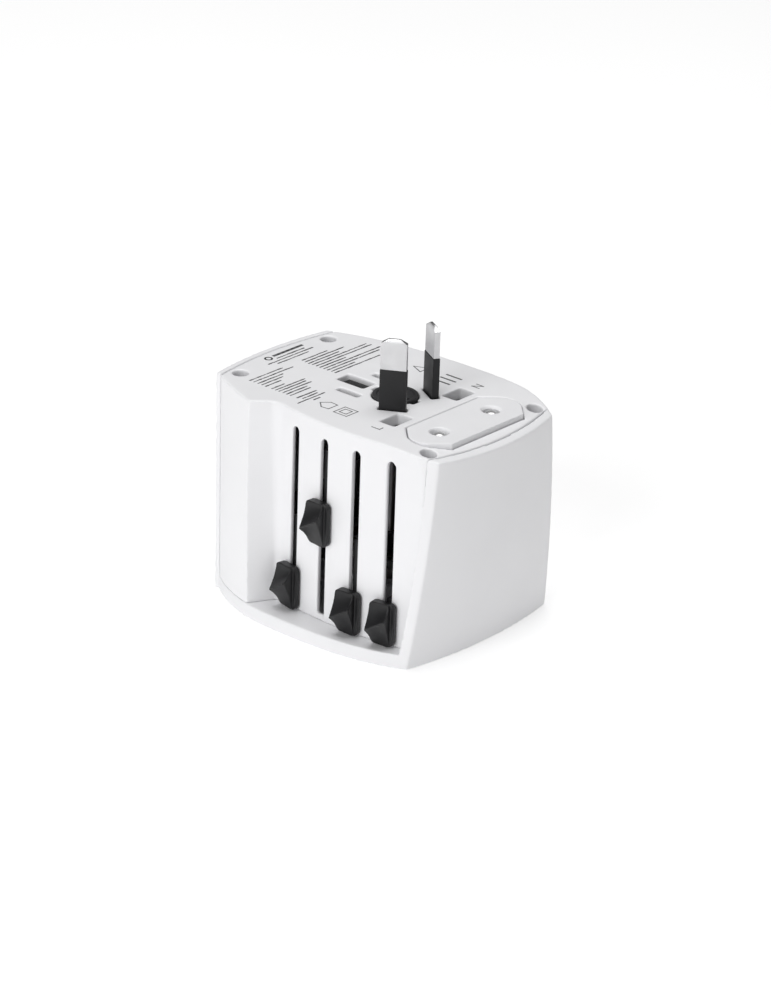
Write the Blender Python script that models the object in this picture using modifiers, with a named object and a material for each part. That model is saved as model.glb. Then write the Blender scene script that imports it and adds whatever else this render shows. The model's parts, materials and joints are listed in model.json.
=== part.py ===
"""Universal travel adapter: a hand-sized block with four slide-out plugs and one universal socket.

Frame: metres, +Z up, the origin under the middle of the body.  The adapter stands on its socket end, so
the plug face looks up.  -Y is the slider side, +X the end with the European plug block.  The lengths below
are in millimetres from the socket's centre, which lies SOCKET_X along X.
"""
import math

import bmesh
import bpy
from mathutils import Matrix, Vector

MM = 0.001
GAP = 0.3
SOCKET_X = 1.1

# Body: half lengths and half widths at the socket end (z = 0) and at the plug face (z = HEIGHT).
HEIGHT = 53.5
LEFT_X = (-32.7, -36.6)
RIGHT_X_TOP = 33.6
RIGHT_X_SWEEP = 3.4
LEFT_BULGE = 1.9
RIGHT_BULGE = 2.65
LEFT_Y = (23.2, 19.7)
RIGHT_Y = (25.4, 20.3)
# Crown, its place along X, and the arch's power, for the back and for the front.
BACK_ARCH = ((31.3, 26.7), (-2.1, 5.7), (2.77, 2.77), (0, 0))
FRONT_ARCH = ((31.3, 29.7), (-2.1, -2.0), (2.77, 2.0), (1.5, 1.5))
FACE_FALL_START = 17.5
FACE_FALL = 0.0074

# Shells.
FLANGE_TOP = 3.5
CHEEKS = (1.5, 2.2)
WALL = 1.5
END_WALL = 1.0
PLATE = 2.2
PLATE_UNDER = HEIGHT - PLATE
UK_COLLAR_UNDER = 50.4
SLIDER_WALL = 1.3

# Slider face: a shallow convex wall, deepest at its ends.
FACE_Y = -25.05
FACE_MID_X = 7.8
FACE_SQUARE = 0.0053
RECESS_END_X = 38.0
# The recess's side wall at the socket end and at the plug face: its corner, its foot, the point that the
# fillet bends round, and where the fillet meets the slider face.
RECESS_WALL = (((-15.1, -29.3), (-12.3, -24.2), (-11.6, -23.05), (-9.0, -23.55)),
               ((-19.5, -27.2), (-15.6, -23.7), (-14.4, -22.6), (-12.0, -22.97)))

# Sliders.  The slots stand 9.8 mm apart.
US_X = -7.1
AU_X = 2.7
UK_X = 12.5
EURO_X = 22.3
SLOT_WIDTH = 2.2
SLOT_BOTTOM = 5.0
SLOT_TOP = 49.6
KNOB_WIDTH = 6.3
KNOB_HEIGHT = 11.0
KNOB_BOTTOM = 3.85
TONGUE_WIDTH = 1.5
TONGUE_BOTTOM = 6.2
TONGUE_HEIGHT = 6.8
STEM_HALF_WIDTH = 1.6
STEM_DEPTH = 3.2
STEM_GAP = 0.65
AU_TRAVEL = 19.5

# Levels of the inside, from the socket end up.
WELL_DEPTH = 8.0
WELL_TOP = 9.6
SHUTTER_Z = (10.2, 11.2)
CONTACT_Z = (11.8, 18.2)
CHASSIS_Z = (18.6, 20.6)
BUS_Z = (20.9, 21.7)
BRIDGE_Z = (22.5, 26.5)
EURO_BAR_Z = (4.2, 8.2)

# Pins of the four plugs, to their national standards.
UK_LINE = (12.5, 11.1)
UK_EARTH_X = -9.73
UK_FLAT_PIN = (4.0, 6.35)
UK_EARTH_PIN = (8.0, 4.0)
UK_PIN_TOP = 47.6
UK_EARTH_TOP = 52.4
US_BLADE_X = -6.3
US_BLADE_Y = 6.35
US_BLADE = (6.35, 1.5)
AU_BLADE_X = 7.7
AU_BLADE_Y = 6.86
AU_BLADE = (6.35, 1.6)
AU_BLADE_TOP = 71.0
AU_SLEEVE_TOP = 63.3
AU_ANGLE = math.radians(30)
EURO_BLOCK_X = 24.1
EURO_PIN_Y = 9.3
EURO_SLEEVE_TOP = 44.0
EURO_BLOCK_HALF = (6.85, 12.87)
EURO_TIP_RADIUS = 5.0
EURO_BLOCK_HEIGHT = 20.0

FUSE_X = 2.6
FUSE_CAP_RADIUS = 5.45
SOCKET_PIN_X = 9.5
LEFT_SCREW = (-32.4, 15.6)
RIGHT_SCREW = (29.2, 19.1)

WHITE = ((0.86, 0.86, 0.87), 0.38, 0.0)
INNER_GREY = ((0.62, 0.62, 0.60), 0.55, 0.0)
BLACK = ((0.035, 0.035, 0.038), 0.5, 0.0)
DARK = ((0.09, 0.09, 0.095), 0.45, 0.0)
BRASS = ((0.78, 0.57, 0.24), 0.3, 1.0)
NICKEL = ((0.78, 0.77, 0.75), 0.22, 1.0)
STEEL = ((0.45, 0.45, 0.46), 0.35, 1.0)
CERAMIC = ((0.80, 0.78, 0.72), 0.4, 0.0)

for old in list(bpy.data.objects):
    bpy.data.objects.remove(old, do_unlink=True)

PARTS = bpy.data.collections.new("universal_travel_adapter")
CUTTERS = bpy.data.collections.new("cutters")
bpy.context.scene.collection.children.link(PARTS)
bpy.context.scene.collection.children.link(CUTTERS)


# ---------------------------------------------------------------- shared helpers

def link(mesh, name, finish=None):
    """A new object in the parts, or among the cutters when it has no finish."""
    item = bpy.data.objects.new(name, mesh)
    if finish is None:
        CUTTERS.objects.link(item)
        item.hide_render = True
        item.display_type = "WIRE"
        return item
    PARTS.objects.link(item)
    colour, roughness, metallic = finish
    surface = bpy.data.materials.new(name + "_surface")
    surface.use_nodes = True
    shader = surface.node_tree.nodes["Principled BSDF"]
    shader.inputs["Base Color"].default_value = (*colour, 1.0)
    shader.inputs["Roughness"].default_value = roughness
    shader.inputs["Metallic"].default_value = metallic
    mesh.materials.append(surface)
    return item


def finished(bm, name, finish=None, smooth=False):
    """Close a bmesh that was drawn in millimetres and link it."""
    bmesh.ops.scale(bm, vec=(MM, MM, MM), verts=bm.verts)
    bmesh.ops.recalc_face_normals(bm, faces=bm.faces)
    mesh = bpy.data.meshes.new(name)
    bm.to_mesh(mesh)
    bm.free()
    item = link(mesh, name, finish)
    if smooth:
        mesh.shade_smooth()
        mesh.set_sharp_from_angle(angle=math.radians(35))
    return item


def box(name, x, y, z, finish=None):
    """A box between the two limits on each axis."""
    bm = bmesh.new()
    bmesh.ops.create_cube(bm, size=1)
    size = Vector((x[1] - x[0], y[1] - y[0], z[1] - z[0]))
    middle = Vector((x[0] + x[1], y[0] + y[1], z[0] + z[1])) / 2
    bmesh.ops.transform(bm, matrix=Matrix.Translation(middle) @ Matrix.Diagonal((*size, 1)), verts=bm.verts)
    return finished(bm, name, finish)


def cylinder(name, x, y, radius, z, finish=None, segments=24):
    """An upright cylinder at (x, y) between two heights."""
    bm = bmesh.new()
    place = Matrix.Translation((x, y, (z[0] + z[1]) / 2))
    bmesh.ops.create_cone(bm, cap_ends=True, segments=segments, radius1=radius, radius2=radius,
                          depth=z[1] - z[0], matrix=place)
    return finished(bm, name, finish, smooth=True)


def plate(name, outline, z, finish=None):
    """A flat outline, extruded between two heights."""
    curve = bpy.data.curves.new(name, "CURVE")
    curve.dimensions = "2D"
    curve.fill_mode = "BOTH"
    curve.extrude = (z[1] - z[0]) / 2 * MM
    spline = curve.splines.new("POLY")
    spline.points.add(len(outline) - 1)
    for point, (x, y) in zip(spline.points, outline):
        point.co = (x * MM, y * MM, 0, 1)
    spline.use_cyclic_u = True
    drawn = bpy.data.objects.new(name + "_outline", curve)
    bpy.context.scene.collection.objects.link(drawn)
    bpy.context.view_layer.update()
    mesh = bpy.data.meshes.new_from_object(drawn.evaluated_get(bpy.context.evaluated_depsgraph_get()))
    bpy.data.objects.remove(drawn, do_unlink=True)
    bpy.data.curves.remove(curve)
    bm = bmesh.new()
    bm.from_mesh(mesh)
    bpy.data.meshes.remove(mesh)
    bmesh.ops.remove_doubles(bm, verts=bm.verts, dist=0.00001)
    bmesh.ops.translate(bm, vec=(0, 0, (z[0] + z[1]) / 2 * MM), verts=bm.verts)
    bmesh.ops.scale(bm, vec=(1 / MM, 1 / MM, 1 / MM), verts=bm.verts)
    caps = [face for face in bm.faces if abs(face.calc_center_median().z - (z[0] + z[1]) / 2) > 0.01]
    bmesh.ops.delete(bm, geom=caps, context="FACES")
    bmesh.ops.holes_fill(bm, edges=bm.edges)
    return finished(bm, name, finish)


def turned(name, x, y, profile, finish, segments=24):
    """A turned piece at (x, y): a closed (radius, height) profile, spun round the vertical."""
    mesh = bpy.data.meshes.new(name)
    points = [(radius * MM, 0, height * MM) for radius, height in profile]
    edges = [(i, i + 1) for i in range(len(points) - 1)]
    if profile[0][0] > 0:
        edges.append((len(points) - 1, 0))
    mesh.from_pydata(points, edges, [])
    item = link(mesh, name, finish)
    item.location = (x * MM, y * MM, 0)
    spin = item.modifiers.new("turn", "SCREW")
    spin.steps = segments
    spin.render_steps = segments
    spin.use_merge_vertices = True
    spin.merge_threshold = 0.00001
    spin.use_smooth_shade = False
    return item


def combine(item, others, operation):
    """Join other solids to a piece, or cut them from it."""
    for other in others:
        step = item.modifiers.new(other.name, "BOOLEAN")
        step.operation = operation
        step.solver = "EXACT"
        step.object = other
    return item


def soften(item, width, segments=1):
    """Round or chamfer the sharp edges of a piece."""
    bevel = item.modifiers.new("soft_edges", "BEVEL")
    bevel.width = width * MM
    bevel.segments = segments
    bevel.limit_method = "ANGLE"
    bevel.angle_limit = math.radians(40)
    return item


def joint_frame(name, x, y, z):
    """An empty that stands on a joint's axis and carries the pieces that move with it."""
    frame = bpy.data.objects.new(name, None)
    frame.location = (x * MM, y * MM, z * MM)
    PARTS.objects.link(frame)
    return frame


def carry(frame, pieces):
    """Parent pieces to a joint frame without moving them."""
    for piece in pieces:
        piece.parent = frame
        piece.matrix_parent_inverse = Matrix.Translation(-frame.location)


# ---------------------------------------------------------------- the body's outer form

def between(pair, z):
    """A body measure at height z, from its values at the socket end and the plug face."""
    return pair[0] + (pair[1] - pair[0]) * z / HEIGHT


def right_x(z):
    return RIGHT_X_TOP - RIGHT_X_SWEEP * (1 - z / HEIGHT) ** 2


def long_y(x, z, arch):
    """Half width of the body at x: a flat arch that falls to the corners."""
    crown, middle, power, land = (between(pair, z) for pair in arch)
    end_x, end_y = between(LEFT_X, z) + land, between(LEFT_Y, z)
    if x > middle:
        end_x, end_y = right_x(z), between(RIGHT_Y, z)
    share = min(abs(x - middle) / abs(end_x - middle), 1)
    return crown - (crown - end_y) * share ** power


def cheeks_and(extra):
    """The two cheeks' thicknesses, each with something added."""
    return CHEEKS[0] + extra, CHEEKS[1] + extra


def section(z, end_insets, long_inset):
    """The body's outline at height z, drawn in from the two ends and from the two long sides."""
    left = between(LEFT_X, z) + end_insets[0]
    right = right_x(z) - end_insets[1]
    steps = 12
    along = [left + (right - left) * (1 - math.cos(math.pi * i / steps)) / 2 for i in range(steps + 1)]
    front = [(x, -long_y(x, z, FRONT_ARCH) + long_inset) for x in along]
    back = [(x, long_y(x, z, BACK_ARCH) - long_inset) for x in reversed(along)]
    sides = []
    for x, start, end, half, bulge in ((right, front[-1][1], back[0][1], between(RIGHT_Y, z), RIGHT_BULGE),
                                       (left, back[-1][1], front[0][1], between(LEFT_Y, z), -LEFT_BULGE)):
        across = [start + (end - start) * i / 6 for i in range(1, 6)]
        sides.append([(x + bulge * (1 - (y / half) ** 2), y) for y in across])
    return front + sides[0] + back + sides[1]


def body_loft(name, z_levels, end_insets, long_inset, finish=None):
    """A solid lofted through the body's outlines."""
    bm = bmesh.new()
    rings = []
    for z in z_levels:
        rings.append([bm.verts.new((x, y, z)) for x, y in section(z, end_insets, long_inset)])
    count = len(rings[0])
    for lower, upper in zip(rings, rings[1:]):
        for i in range(count):
            j = (i + 1) % count
            bm.faces.new((lower[i], lower[j], upper[j], upper[i]))
    bm.faces.new(reversed(rings[0]))
    bm.faces.new(rings[-1])
    return finished(bm, name, finish)


def face_y(x):
    """Where the slider face stands at x."""
    return FACE_Y + FACE_SQUARE * (x - FACE_MID_X) ** 2


def face_turn(x):
    """How far the slider face is turned about the vertical at x."""
    return math.atan(2 * FACE_SQUARE * (x - FACE_MID_X))


def recess_outline(share, fillet_steps, face_steps):
    """Plan of the slider recess, share being 0 at the socket end and 1 at the plug face."""
    corner, foot, bend, meet = (Vector(low).lerp(Vector(high), share) for low, high in zip(*RECESS_WALL))
    outside = corner + (corner - foot) * 2
    points = [outside, foot]
    for i in range(1, fillet_steps):
        t = i / fillet_steps
        points.append(foot.lerp(bend, t).lerp(bend.lerp(meet, t), t))
    for i in range(face_steps + 1):
        x = meet.x + (RECESS_END_X - meet.x) * i / face_steps
        points.append((x, face_y(x)))
    return [tuple(point) for point in points] + [(RECESS_END_X, -45), (outside.x, -45)]


def recess_cutter(name):
    """Cuts the slider recess, whose side wall leans from the socket end to the plug face."""
    bm = bmesh.new()
    rings = []
    for z in (-1, HEIGHT + 3):
        outline = recess_outline(z / HEIGHT, 5, 12)
        rings.append([bm.verts.new((x, y, z)) for x, y in outline])
    low, high = rings
    for i in range(len(low)):
        j = (i + 1) % len(low)
        bm.faces.new((low[i], low[j], high[j], high[i]))
    bm.faces.new(reversed(low))
    bm.faces.new(high)
    return finished(bm, name)


def plug_face_fall(name, top=HEIGHT):
    """Cuts a face at height top where it curves down towards the +X end."""
    steps = 8
    end = 40.0
    xs = [FACE_FALL_START + (end - FACE_FALL_START) * i / steps for i in range(steps + 1)]
    low = [(x, top - FACE_FALL * (x - FACE_FALL_START) ** 2) for x in xs]
    outline = low + [(end, HEIGHT + 5), (FACE_FALL_START - 1, HEIGHT + 5), (FACE_FALL_START - 1, top)]
    cutter = plate(name, outline, (-40, 40))
    cutter.rotation_euler = (math.pi / 2, 0, 0)
    return cutter


def hexagon_plug(name, x, y, grow, z, along_x=False, finish=None):
    """The European plug outline: long sides, 45 degree ends and round tips."""
    half_width, corner = EURO_BLOCK_HALF
    tip_radius = EURO_TIP_RADIUS + grow
    tip_centre = corner + half_width - EURO_TIP_RADIUS * math.sqrt(2)
    half_width += grow
    corner += grow * (math.sqrt(2) - 1)
    end = [(half_width, corner)]
    for i in range(5):
        angle = math.radians(45 + 22.5 * i)
        end.append((tip_radius * math.cos(angle), tip_centre + tip_radius * math.sin(angle)))
    end.append((-half_width, corner))
    outline = end + [(-px, -py) for px, py in end]
    if along_x:
        outline = [(py, -px) for px, py in outline]
    return plate(name, [(x + px, y + py) for px, py in outline], z, finish)


def slot_hole(name, x, y, width, length, z, angle=0.0):
    """A straight slot through a plate, turned about the vertical."""
    cutter = box(name, (-width / 2, width / 2), (-length / 2, length / 2), z)
    cutter.location = (x * MM, y * MM, 0)
    cutter.rotation_euler = (0, 0, angle)
    return cutter


def slider_slot(name, x):
    """The upright slot that a slider's tongue runs in, round at the top and square at the bottom."""
    radius = SLOT_WIDTH / 2
    outline = [(-radius, SLOT_BOTTOM), (radius, SLOT_BOTTOM)]
    for i in range(7):
        angle = math.radians(30 * i)
        outline.append((radius * math.cos(angle), SLOT_TOP - radius + radius * math.sin(angle)))
    cutter = plate(name, outline, (-face_y(x) - SLIDER_WALL - 1.5, -face_y(x) + 3))
    cutter.location = (x * MM, 0, 0)
    cutter.rotation_euler = (math.pi / 2, 0, 0)
    return cutter


# ---------------------------------------------------------------- shells

Z_LEVELS = [0, 12, 24, 36, 46, HEIGHT]
SCREWS = [(x, y * side, top, deep)
          for x, y, top, deep in ((*LEFT_SCREW, 51.3, 46.3), (*RIGHT_SCREW, 43.0, 36.3))
          for side in (-1, 1)]


def make_outer_shell():
    """The U-shaped cover: socket end, its flange, and the two cheeks that rise to the plug face."""
    shell = body_loft("outer_shell", Z_LEVELS, (0, 0), 0, WHITE)
    hollow_levels = [FLANGE_TOP, 12, 24, 36, 46, HEIGHT + 2]
    combine(shell, [body_loft("shell_hollow", hollow_levels, CHEEKS, -6)], "DIFFERENCE")
    combine(shell, [hexagon_plug("socket_well_wall", 0, 0, 1.6, (1, WELL_TOP), True)], "UNION")
    posts = []
    for i, (x, y, _top, deep) in enumerate(SCREWS):
        post = cylinder(f"screw_post_{i}", x, y, 2.6, (1, deep - GAP), segments=16)
        combine(post, [body_loft(f"post_limit_{i}", Z_LEVELS, (0.6, 0.6), 0.6)], "INTERSECT")
        posts.append(post)
    combine(shell, posts, "UNION")
    cuts = [hexagon_plug("socket_well", 0, 0, 0.4, (-1, WELL_DEPTH), True), plug_face_fall("shell_fall")]
    for side in (-1, 1):
        cuts.append(cylinder(f"socket_hole_{side}", side * SOCKET_PIN_X, 0, 2.7, (5, 12), segments=20))
        cuts.append(slot_hole(f"socket_slot_{side}", side * 6.35, 0, 1.9, 7.4, (5, 12)))
    for i, (x, y, _top, deep) in enumerate(SCREWS):
        cuts.append(cylinder(f"post_bore_{i}", x, y, 1.5, (deep - 16, deep + 1), segments=12))
    return combine(shell, cuts, "DIFFERENCE")


def make_plug_housing():
    """The plug face, the slider wall and the back wall in one moulding, held between the cheeks."""
    levels = [FLANGE_TOP + GAP, 12, 24, 36, 46, HEIGHT]
    housing = body_loft("plug_housing", levels, cheeks_and(GAP), 0, WHITE)
    wall_line = [(x, face_y(x) + SLIDER_WALL) for x in (-13, -6, 0, 7, 14, 20, 26, 32, 40)]
    slider_zone = [(-21.5, -50), (-21.5, -26.3), (-16.8, -22.2)] + wall_line + [(40, -50)]
    hollow_levels = [0, 12, 24, 36, 46, PLATE_UNDER]
    hollow = body_loft("housing_hollow", hollow_levels, cheeks_and(GAP + END_WALL), WALL + 0.3)
    stem_room = box("stem_room", (US_X - 4, EURO_X + 3), (-30, -15), (1, PLATE_UNDER))
    combine(hollow, [stem_room], "UNION")
    combine(hollow, [plate("slider_wall_zone", slider_zone, (-1, HEIGHT + 1)),
                     plug_face_fall("plate_fall", PLATE_UNDER)], "DIFFERENCE")
    combine(housing, [hollow], "DIFFERENCE")
    bosses = []
    for i, (x, y, top, deep) in enumerate(SCREWS):
        boss = cylinder(f"housing_boss_{i}", x, y, 2.6, (deep, PLATE_UNDER + 1), segments=16)
        combine(boss, [body_loft(f"boss_limit_{i}", Z_LEVELS, cheeks_and(GAP + 0.3), 0.6)], "INTERSECT")
        bosses.append(boss)
    for side in (-1, 1):
        bosses.append(box(f"uk_collar_{side}", (UK_LINE[0] - 3.1, UK_LINE[0] + 3.1),
                          sorted((side * (UK_LINE[1] - 4.3), side * (UK_LINE[1] + 4.3))),
                          (UK_COLLAR_UNDER, PLATE_UNDER + 1)))
    combine(housing, bosses, "UNION")
    cuts = [recess_cutter("slider_recess"), plug_face_fall("housing_fall")]
    cuts += [slider_slot(f"slider_slot_{x}", x) for x in (US_X, AU_X, UK_X, EURO_X)]
    through = (PLATE_UNDER - 2, HEIGHT + 2)
    cuts.append(hexagon_plug("euro_opening", EURO_BLOCK_X, 0, 0.35, through))
    cuts.append(slot_hole("uk_earth_hole", UK_EARTH_X, 0, 8.6, 4.6, through))
    cuts.append(cylinder("fuse_opening", FUSE_X, 0, FUSE_CAP_RADIUS + GAP, through))
    cuts.append(slot_hole("fuse_notches", FUSE_X, 0, 13.2, 2.6, through))
    for side in (-1, 1):
        cuts.append(slot_hole(f"uk_hole_{side}", UK_LINE[0], side * UK_LINE[1], 4.6, 6.95, through))
        cuts.append(slot_hole(f"us_hole_{side}", US_BLADE_X, side * US_BLADE_Y, 6.95, 2.1, through))
        cuts.append(slot_hole(f"au_hole_{side}", AU_BLADE_X, side * AU_BLADE_Y, 6.95, 2.2, through,
                              -side * AU_ANGLE))
    for i, (x, y, top, deep) in enumerate(SCREWS):
        cuts.append(cylinder(f"screw_recess_{i}", x, y, 1.95, (top - 1.8, HEIGHT + 1), segments=20))
        cuts.append(cylinder(f"screw_bore_{i}", x, y, 1.5, (deep - 1, top), segments=12))
        cuts.append(cylinder(f"post_room_{i}", x, y, 2.9, (-1, deep), segments=16))
    return combine(housing, cuts, "DIFFERENCE")


def make_screws():
    """Four self-tapping screws that hold the housing to the shell's posts."""
    names = ("screw_left_front", "screw_left_back", "screw_right_front", "screw_right_back")
    for name, (x, y, top, deep) in zip(names, SCREWS):
        head = top - 1.5
        profile = [(0, top), (1.6, top), (1.6, head), (1.15, head), (1.15, deep - 13), (0, deep - 15)]
        turned(name, x, y, profile, STEEL, 12)


# ---------------------------------------------------------------- sliders

def make_knob(name, x, lift, frame):
    """A thumb knob: a rounded pad with a slanting ridge, standing on the slider face."""
    half = KNOB_WIDTH / 2
    bm = bmesh.new()
    bmesh.ops.create_cube(bm, size=1)
    stretch = Matrix.Diagonal((KNOB_WIDTH, 1, KNOB_HEIGHT, 1))
    bmesh.ops.transform(bm, matrix=Matrix.Translation((0, -0.5, 0)) @ stretch, verts=bm.verts)
    ridge_left = Vector((-half, 0, -1.55))
    ridge_right = Vector((half, 0, 1.9))
    across = (ridge_right - ridge_left).cross(Vector((0, 1, 0)))
    for offset in (0, 2.6):
        point = ridge_left - Vector((0, 0, offset))
        bmesh.ops.bisect_plane(bm, geom=bm.verts[:] + bm.edges[:] + bm.faces[:], plane_co=point,
                               plane_no=across)
    for vertex in bm.verts:
        if vertex.co.y > -0.5:
            continue
        slant = (vertex.co.x + half) / KNOB_WIDTH
        ridge = ridge_left.z + (ridge_right.z - ridge_left.z) * slant
        above = vertex.co.z - ridge
        if abs(above) < 0.01:
            height = 4.15 - 0.15 * slant
        elif above > 0:
            height = 2.2 + 0.6 * slant
        elif above > -3:
            height = 2.1 + 0.2 * slant
        else:
            height = 1.1 + 0.7 * slant
        vertex.co.y = -height
    middle = KNOB_BOTTOM + KNOB_HEIGHT / 2 + lift
    turn = Matrix.Rotation(face_turn(x), 4, "Z")
    place = Matrix.Translation((x, face_y(x) - GAP - 0.1, middle)) @ turn
    bmesh.ops.transform(bm, matrix=place, verts=bm.verts)
    knob = soften(finished(bm, name, BLACK), 0.7, 2)
    carry(frame, [knob])


def make_carrier(name, x, outline, bridge_z, stem_top, lift, frame):
    """The inner carrier of one plug: a flat bridge, its front stem and the tongue through the slot."""
    carrier = plate(name, outline, (bridge_z[0] + lift, bridge_z[1] + lift), INNER_GREY)
    front = face_y(x) + SLIDER_WALL + STEM_GAP - 0.05
    stem = box(name + "_stem", (x - STEM_HALF_WIDTH + 0.1, x + STEM_HALF_WIDTH - 0.1),
               (front, front + STEM_DEPTH),
               (min(TONGUE_BOTTOM, bridge_z[0]) + lift - 0.1, stem_top + lift - 0.1))
    tongue = box(name + "_tongue", (x - TONGUE_WIDTH / 2, x + TONGUE_WIDTH / 2),
                 (face_y(x) - 0.05, front + 1), (TONGUE_BOTTOM + lift, TONGUE_BOTTOM + TONGUE_HEIGHT + lift))
    combine(carrier, [stem, tongue], "UNION")
    carry(frame, [carrier])


def flat_pin(name, x, y, width, depth, z, taper, finish, frame, angle=0.0, neck=None):
    """An upright bar with a tapered tip, and a thinner neck below a given height."""
    bm = bmesh.new()
    bmesh.ops.create_cube(bm, size=1)
    stretch = Matrix.Diagonal((width, depth, z[1] - z[0], 1))
    bmesh.ops.transform(bm, matrix=Matrix.Translation((0, 0, (z[0] + z[1]) / 2)) @ stretch, verts=bm.verts)
    cuts = [z[1] - taper[0]]
    if neck:
        cuts += [neck[0] + 0.05, neck[0] - 0.05]
    for height in cuts:
        bmesh.ops.bisect_plane(bm, geom=bm.verts[:] + bm.edges[:] + bm.faces[:], plane_co=(0, 0, height),
                               plane_no=(0, 0, 1))
    for vertex in bm.verts:
        if vertex.co.z > z[1] - 0.01:
            vertex.co.x -= math.copysign(taper[1], vertex.co.x)
            vertex.co.y -= math.copysign(taper[2], vertex.co.y)
        if neck and vertex.co.z < neck[0]:
            vertex.co.x = math.copysign(neck[1] / 2, vertex.co.x)
            vertex.co.y = math.copysign(neck[2] / 2, vertex.co.y)
    place = Matrix.Translation((x, y, 0)) @ Matrix.Rotation(angle, 4, "Z")
    bmesh.ops.transform(bm, matrix=place, verts=bm.verts)
    pin = finished(bm, name, finish)
    carry(frame, [pin])


def make_us_plug():
    """Two flat blades on one carrier, retracted."""
    frame = joint_frame("us_slide", US_X, face_y(US_X), KNOB_BOTTOM)
    front = face_y(US_X) + SLIDER_WALL + STEM_GAP
    left, right = US_X - STEM_HALF_WIDTH, US_X + STEM_HALF_WIDTH
    pad_left, pad_right = US_BLADE_X - 3.4, US_BLADE_X + 3.4
    strip = (-5.35, -3.1)
    outline = [(left, front), (right, front), (right, -7.6), (pad_right, -7.6), (pad_right, -5.1),
               (strip[1], -5.1), (strip[1], 5.1), (pad_right, 5.1), (pad_right, 7.6), (pad_left, 7.6),
               (pad_left, 5.1), (strip[0], 5.1), (strip[0], -5.1), (pad_left, -5.1), (pad_left, -7.6),
               (left, -7.6)]
    make_carrier("us_carrier", US_X, outline, BRIDGE_Z, BRIDGE_Z[1], 0, frame)
    foot = BRIDGE_Z[1] + GAP
    for side, word in ((-1, "line"), (1, "neutral")):
        flat_pin(f"us_{word}_blade", US_BLADE_X, side * US_BLADE_Y, *US_BLADE, (foot, 48.5),
                 (1.2, 0.8, 0.4), NICKEL, frame)
    make_knob("us_knob", US_X, 0, frame)


def make_au_plug():
    """Two slanted blades on one carrier, pushed out, with insulating sleeves round their roots."""
    frame = joint_frame("au_slide", AU_X, face_y(AU_X), KNOB_BOTTOM + AU_TRAVEL)
    front = face_y(AU_X) + SLIDER_WALL + STEM_GAP
    left, right = AU_X - STEM_HALF_WIDTH, AU_X + STEM_HALF_WIDTH
    pad = (4.0, 8.2, 11.0)
    strip = 7.1
    outline = [(left, front), (right, front), (right, -9.6), (pad[1], -9.6), (pad[1], -7.3), (pad[2], -7.3),
               (pad[2], 7.3), (pad[1], 7.3), (pad[1], 9.6), (pad[0], 9.6), (pad[0], 4.5), (strip, 4.5),
               (strip, -4.5), (pad[0], -4.5), (pad[0], -9), (left, -9)]
    make_carrier("au_carrier", AU_X, outline, BRIDGE_Z, BRIDGE_Z[1], AU_TRAVEL, frame)
    foot = BRIDGE_Z[1] + AU_TRAVEL + GAP
    for side, word in ((-1, "line"), (1, "neutral")):
        angle = -side * AU_ANGLE
        y = side * AU_BLADE_Y
        flat_pin(f"au_{word}_blade", AU_BLADE_X, y, *AU_BLADE, (foot, AU_BLADE_TOP), (1.1, 1.7, 0.45),
                 NICKEL, frame, angle, (AU_SLEEVE_TOP + 0.15, 5.2, 0.6))
        sleeve = box(f"au_{word}_sleeve", (-AU_BLADE[0] / 2, AU_BLADE[0] / 2),
                     (-AU_BLADE[1] / 2, AU_BLADE[1] / 2), (foot, AU_SLEEVE_TOP), BLACK)
        core = box(f"au_{word}_sleeve_core", (-2.7, 2.7), (-0.4, 0.4), (foot - 1, AU_SLEEVE_TOP + 1))
        for piece in (sleeve, core):
            piece.location = (AU_BLADE_X * MM, y * MM, 0)
            piece.rotation_euler = (0, 0, angle)
        combine(sleeve, [core], "DIFFERENCE")
        carry(frame, [sleeve])
    make_knob("au_knob", AU_X, AU_TRAVEL, frame)


def make_uk_plug():
    """Two flat pins and a plastic earth pin on a carrier that reaches round the back, retracted."""
    frame = joint_frame("uk_slide", UK_X, face_y(UK_X), KNOB_BOTTOM)
    front = face_y(UK_X) + SLIDER_WALL + STEM_GAP
    bar = (11.4, 14.7)
    back = (14.6, 17.6)
    arm = (-17.6, -14.6)
    pad = (10.3, 7.8, 14.4)
    earth = (UK_EARTH_X + 4.0, 2.0)
    stem_right = UK_X + STEM_HALF_WIDTH
    outline = [(bar[0], front), (stem_right, front), (stem_right, front + STEM_DEPTH),
               (bar[1], front + STEM_DEPTH), (bar[1], back[1]), (arm[0], back[1]), (arm[0], -earth[1]),
               (earth[0], -earth[1]), (earth[0], earth[1]), (arm[1], earth[1]), (arm[1], back[0]),
               (pad[0], back[0]), (pad[0], pad[1]), (bar[0], pad[1]), (bar[0], -pad[1]), (pad[0], -pad[1]),
               (pad[0], -pad[2]), (bar[0], -pad[2])]
    make_carrier("uk_carrier", UK_X, outline, BRIDGE_Z, BRIDGE_Z[1], 0, frame)
    foot = BRIDGE_Z[1] + GAP
    for side, word in ((-1, "line"), (1, "neutral")):
        flat_pin(f"uk_{word}_pin", UK_LINE[0], side * UK_LINE[1], *UK_FLAT_PIN, (foot, UK_PIN_TOP),
                 (1.6, 0.8, 1.2), NICKEL, frame)
    flat_pin("uk_earth_pin", UK_EARTH_X, 0, *UK_EARTH_PIN, (foot, UK_EARTH_TOP), (0.8, 0.5, 0.35),
             BLACK, frame)
    make_knob("uk_knob", UK_X, 0, frame)


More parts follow.
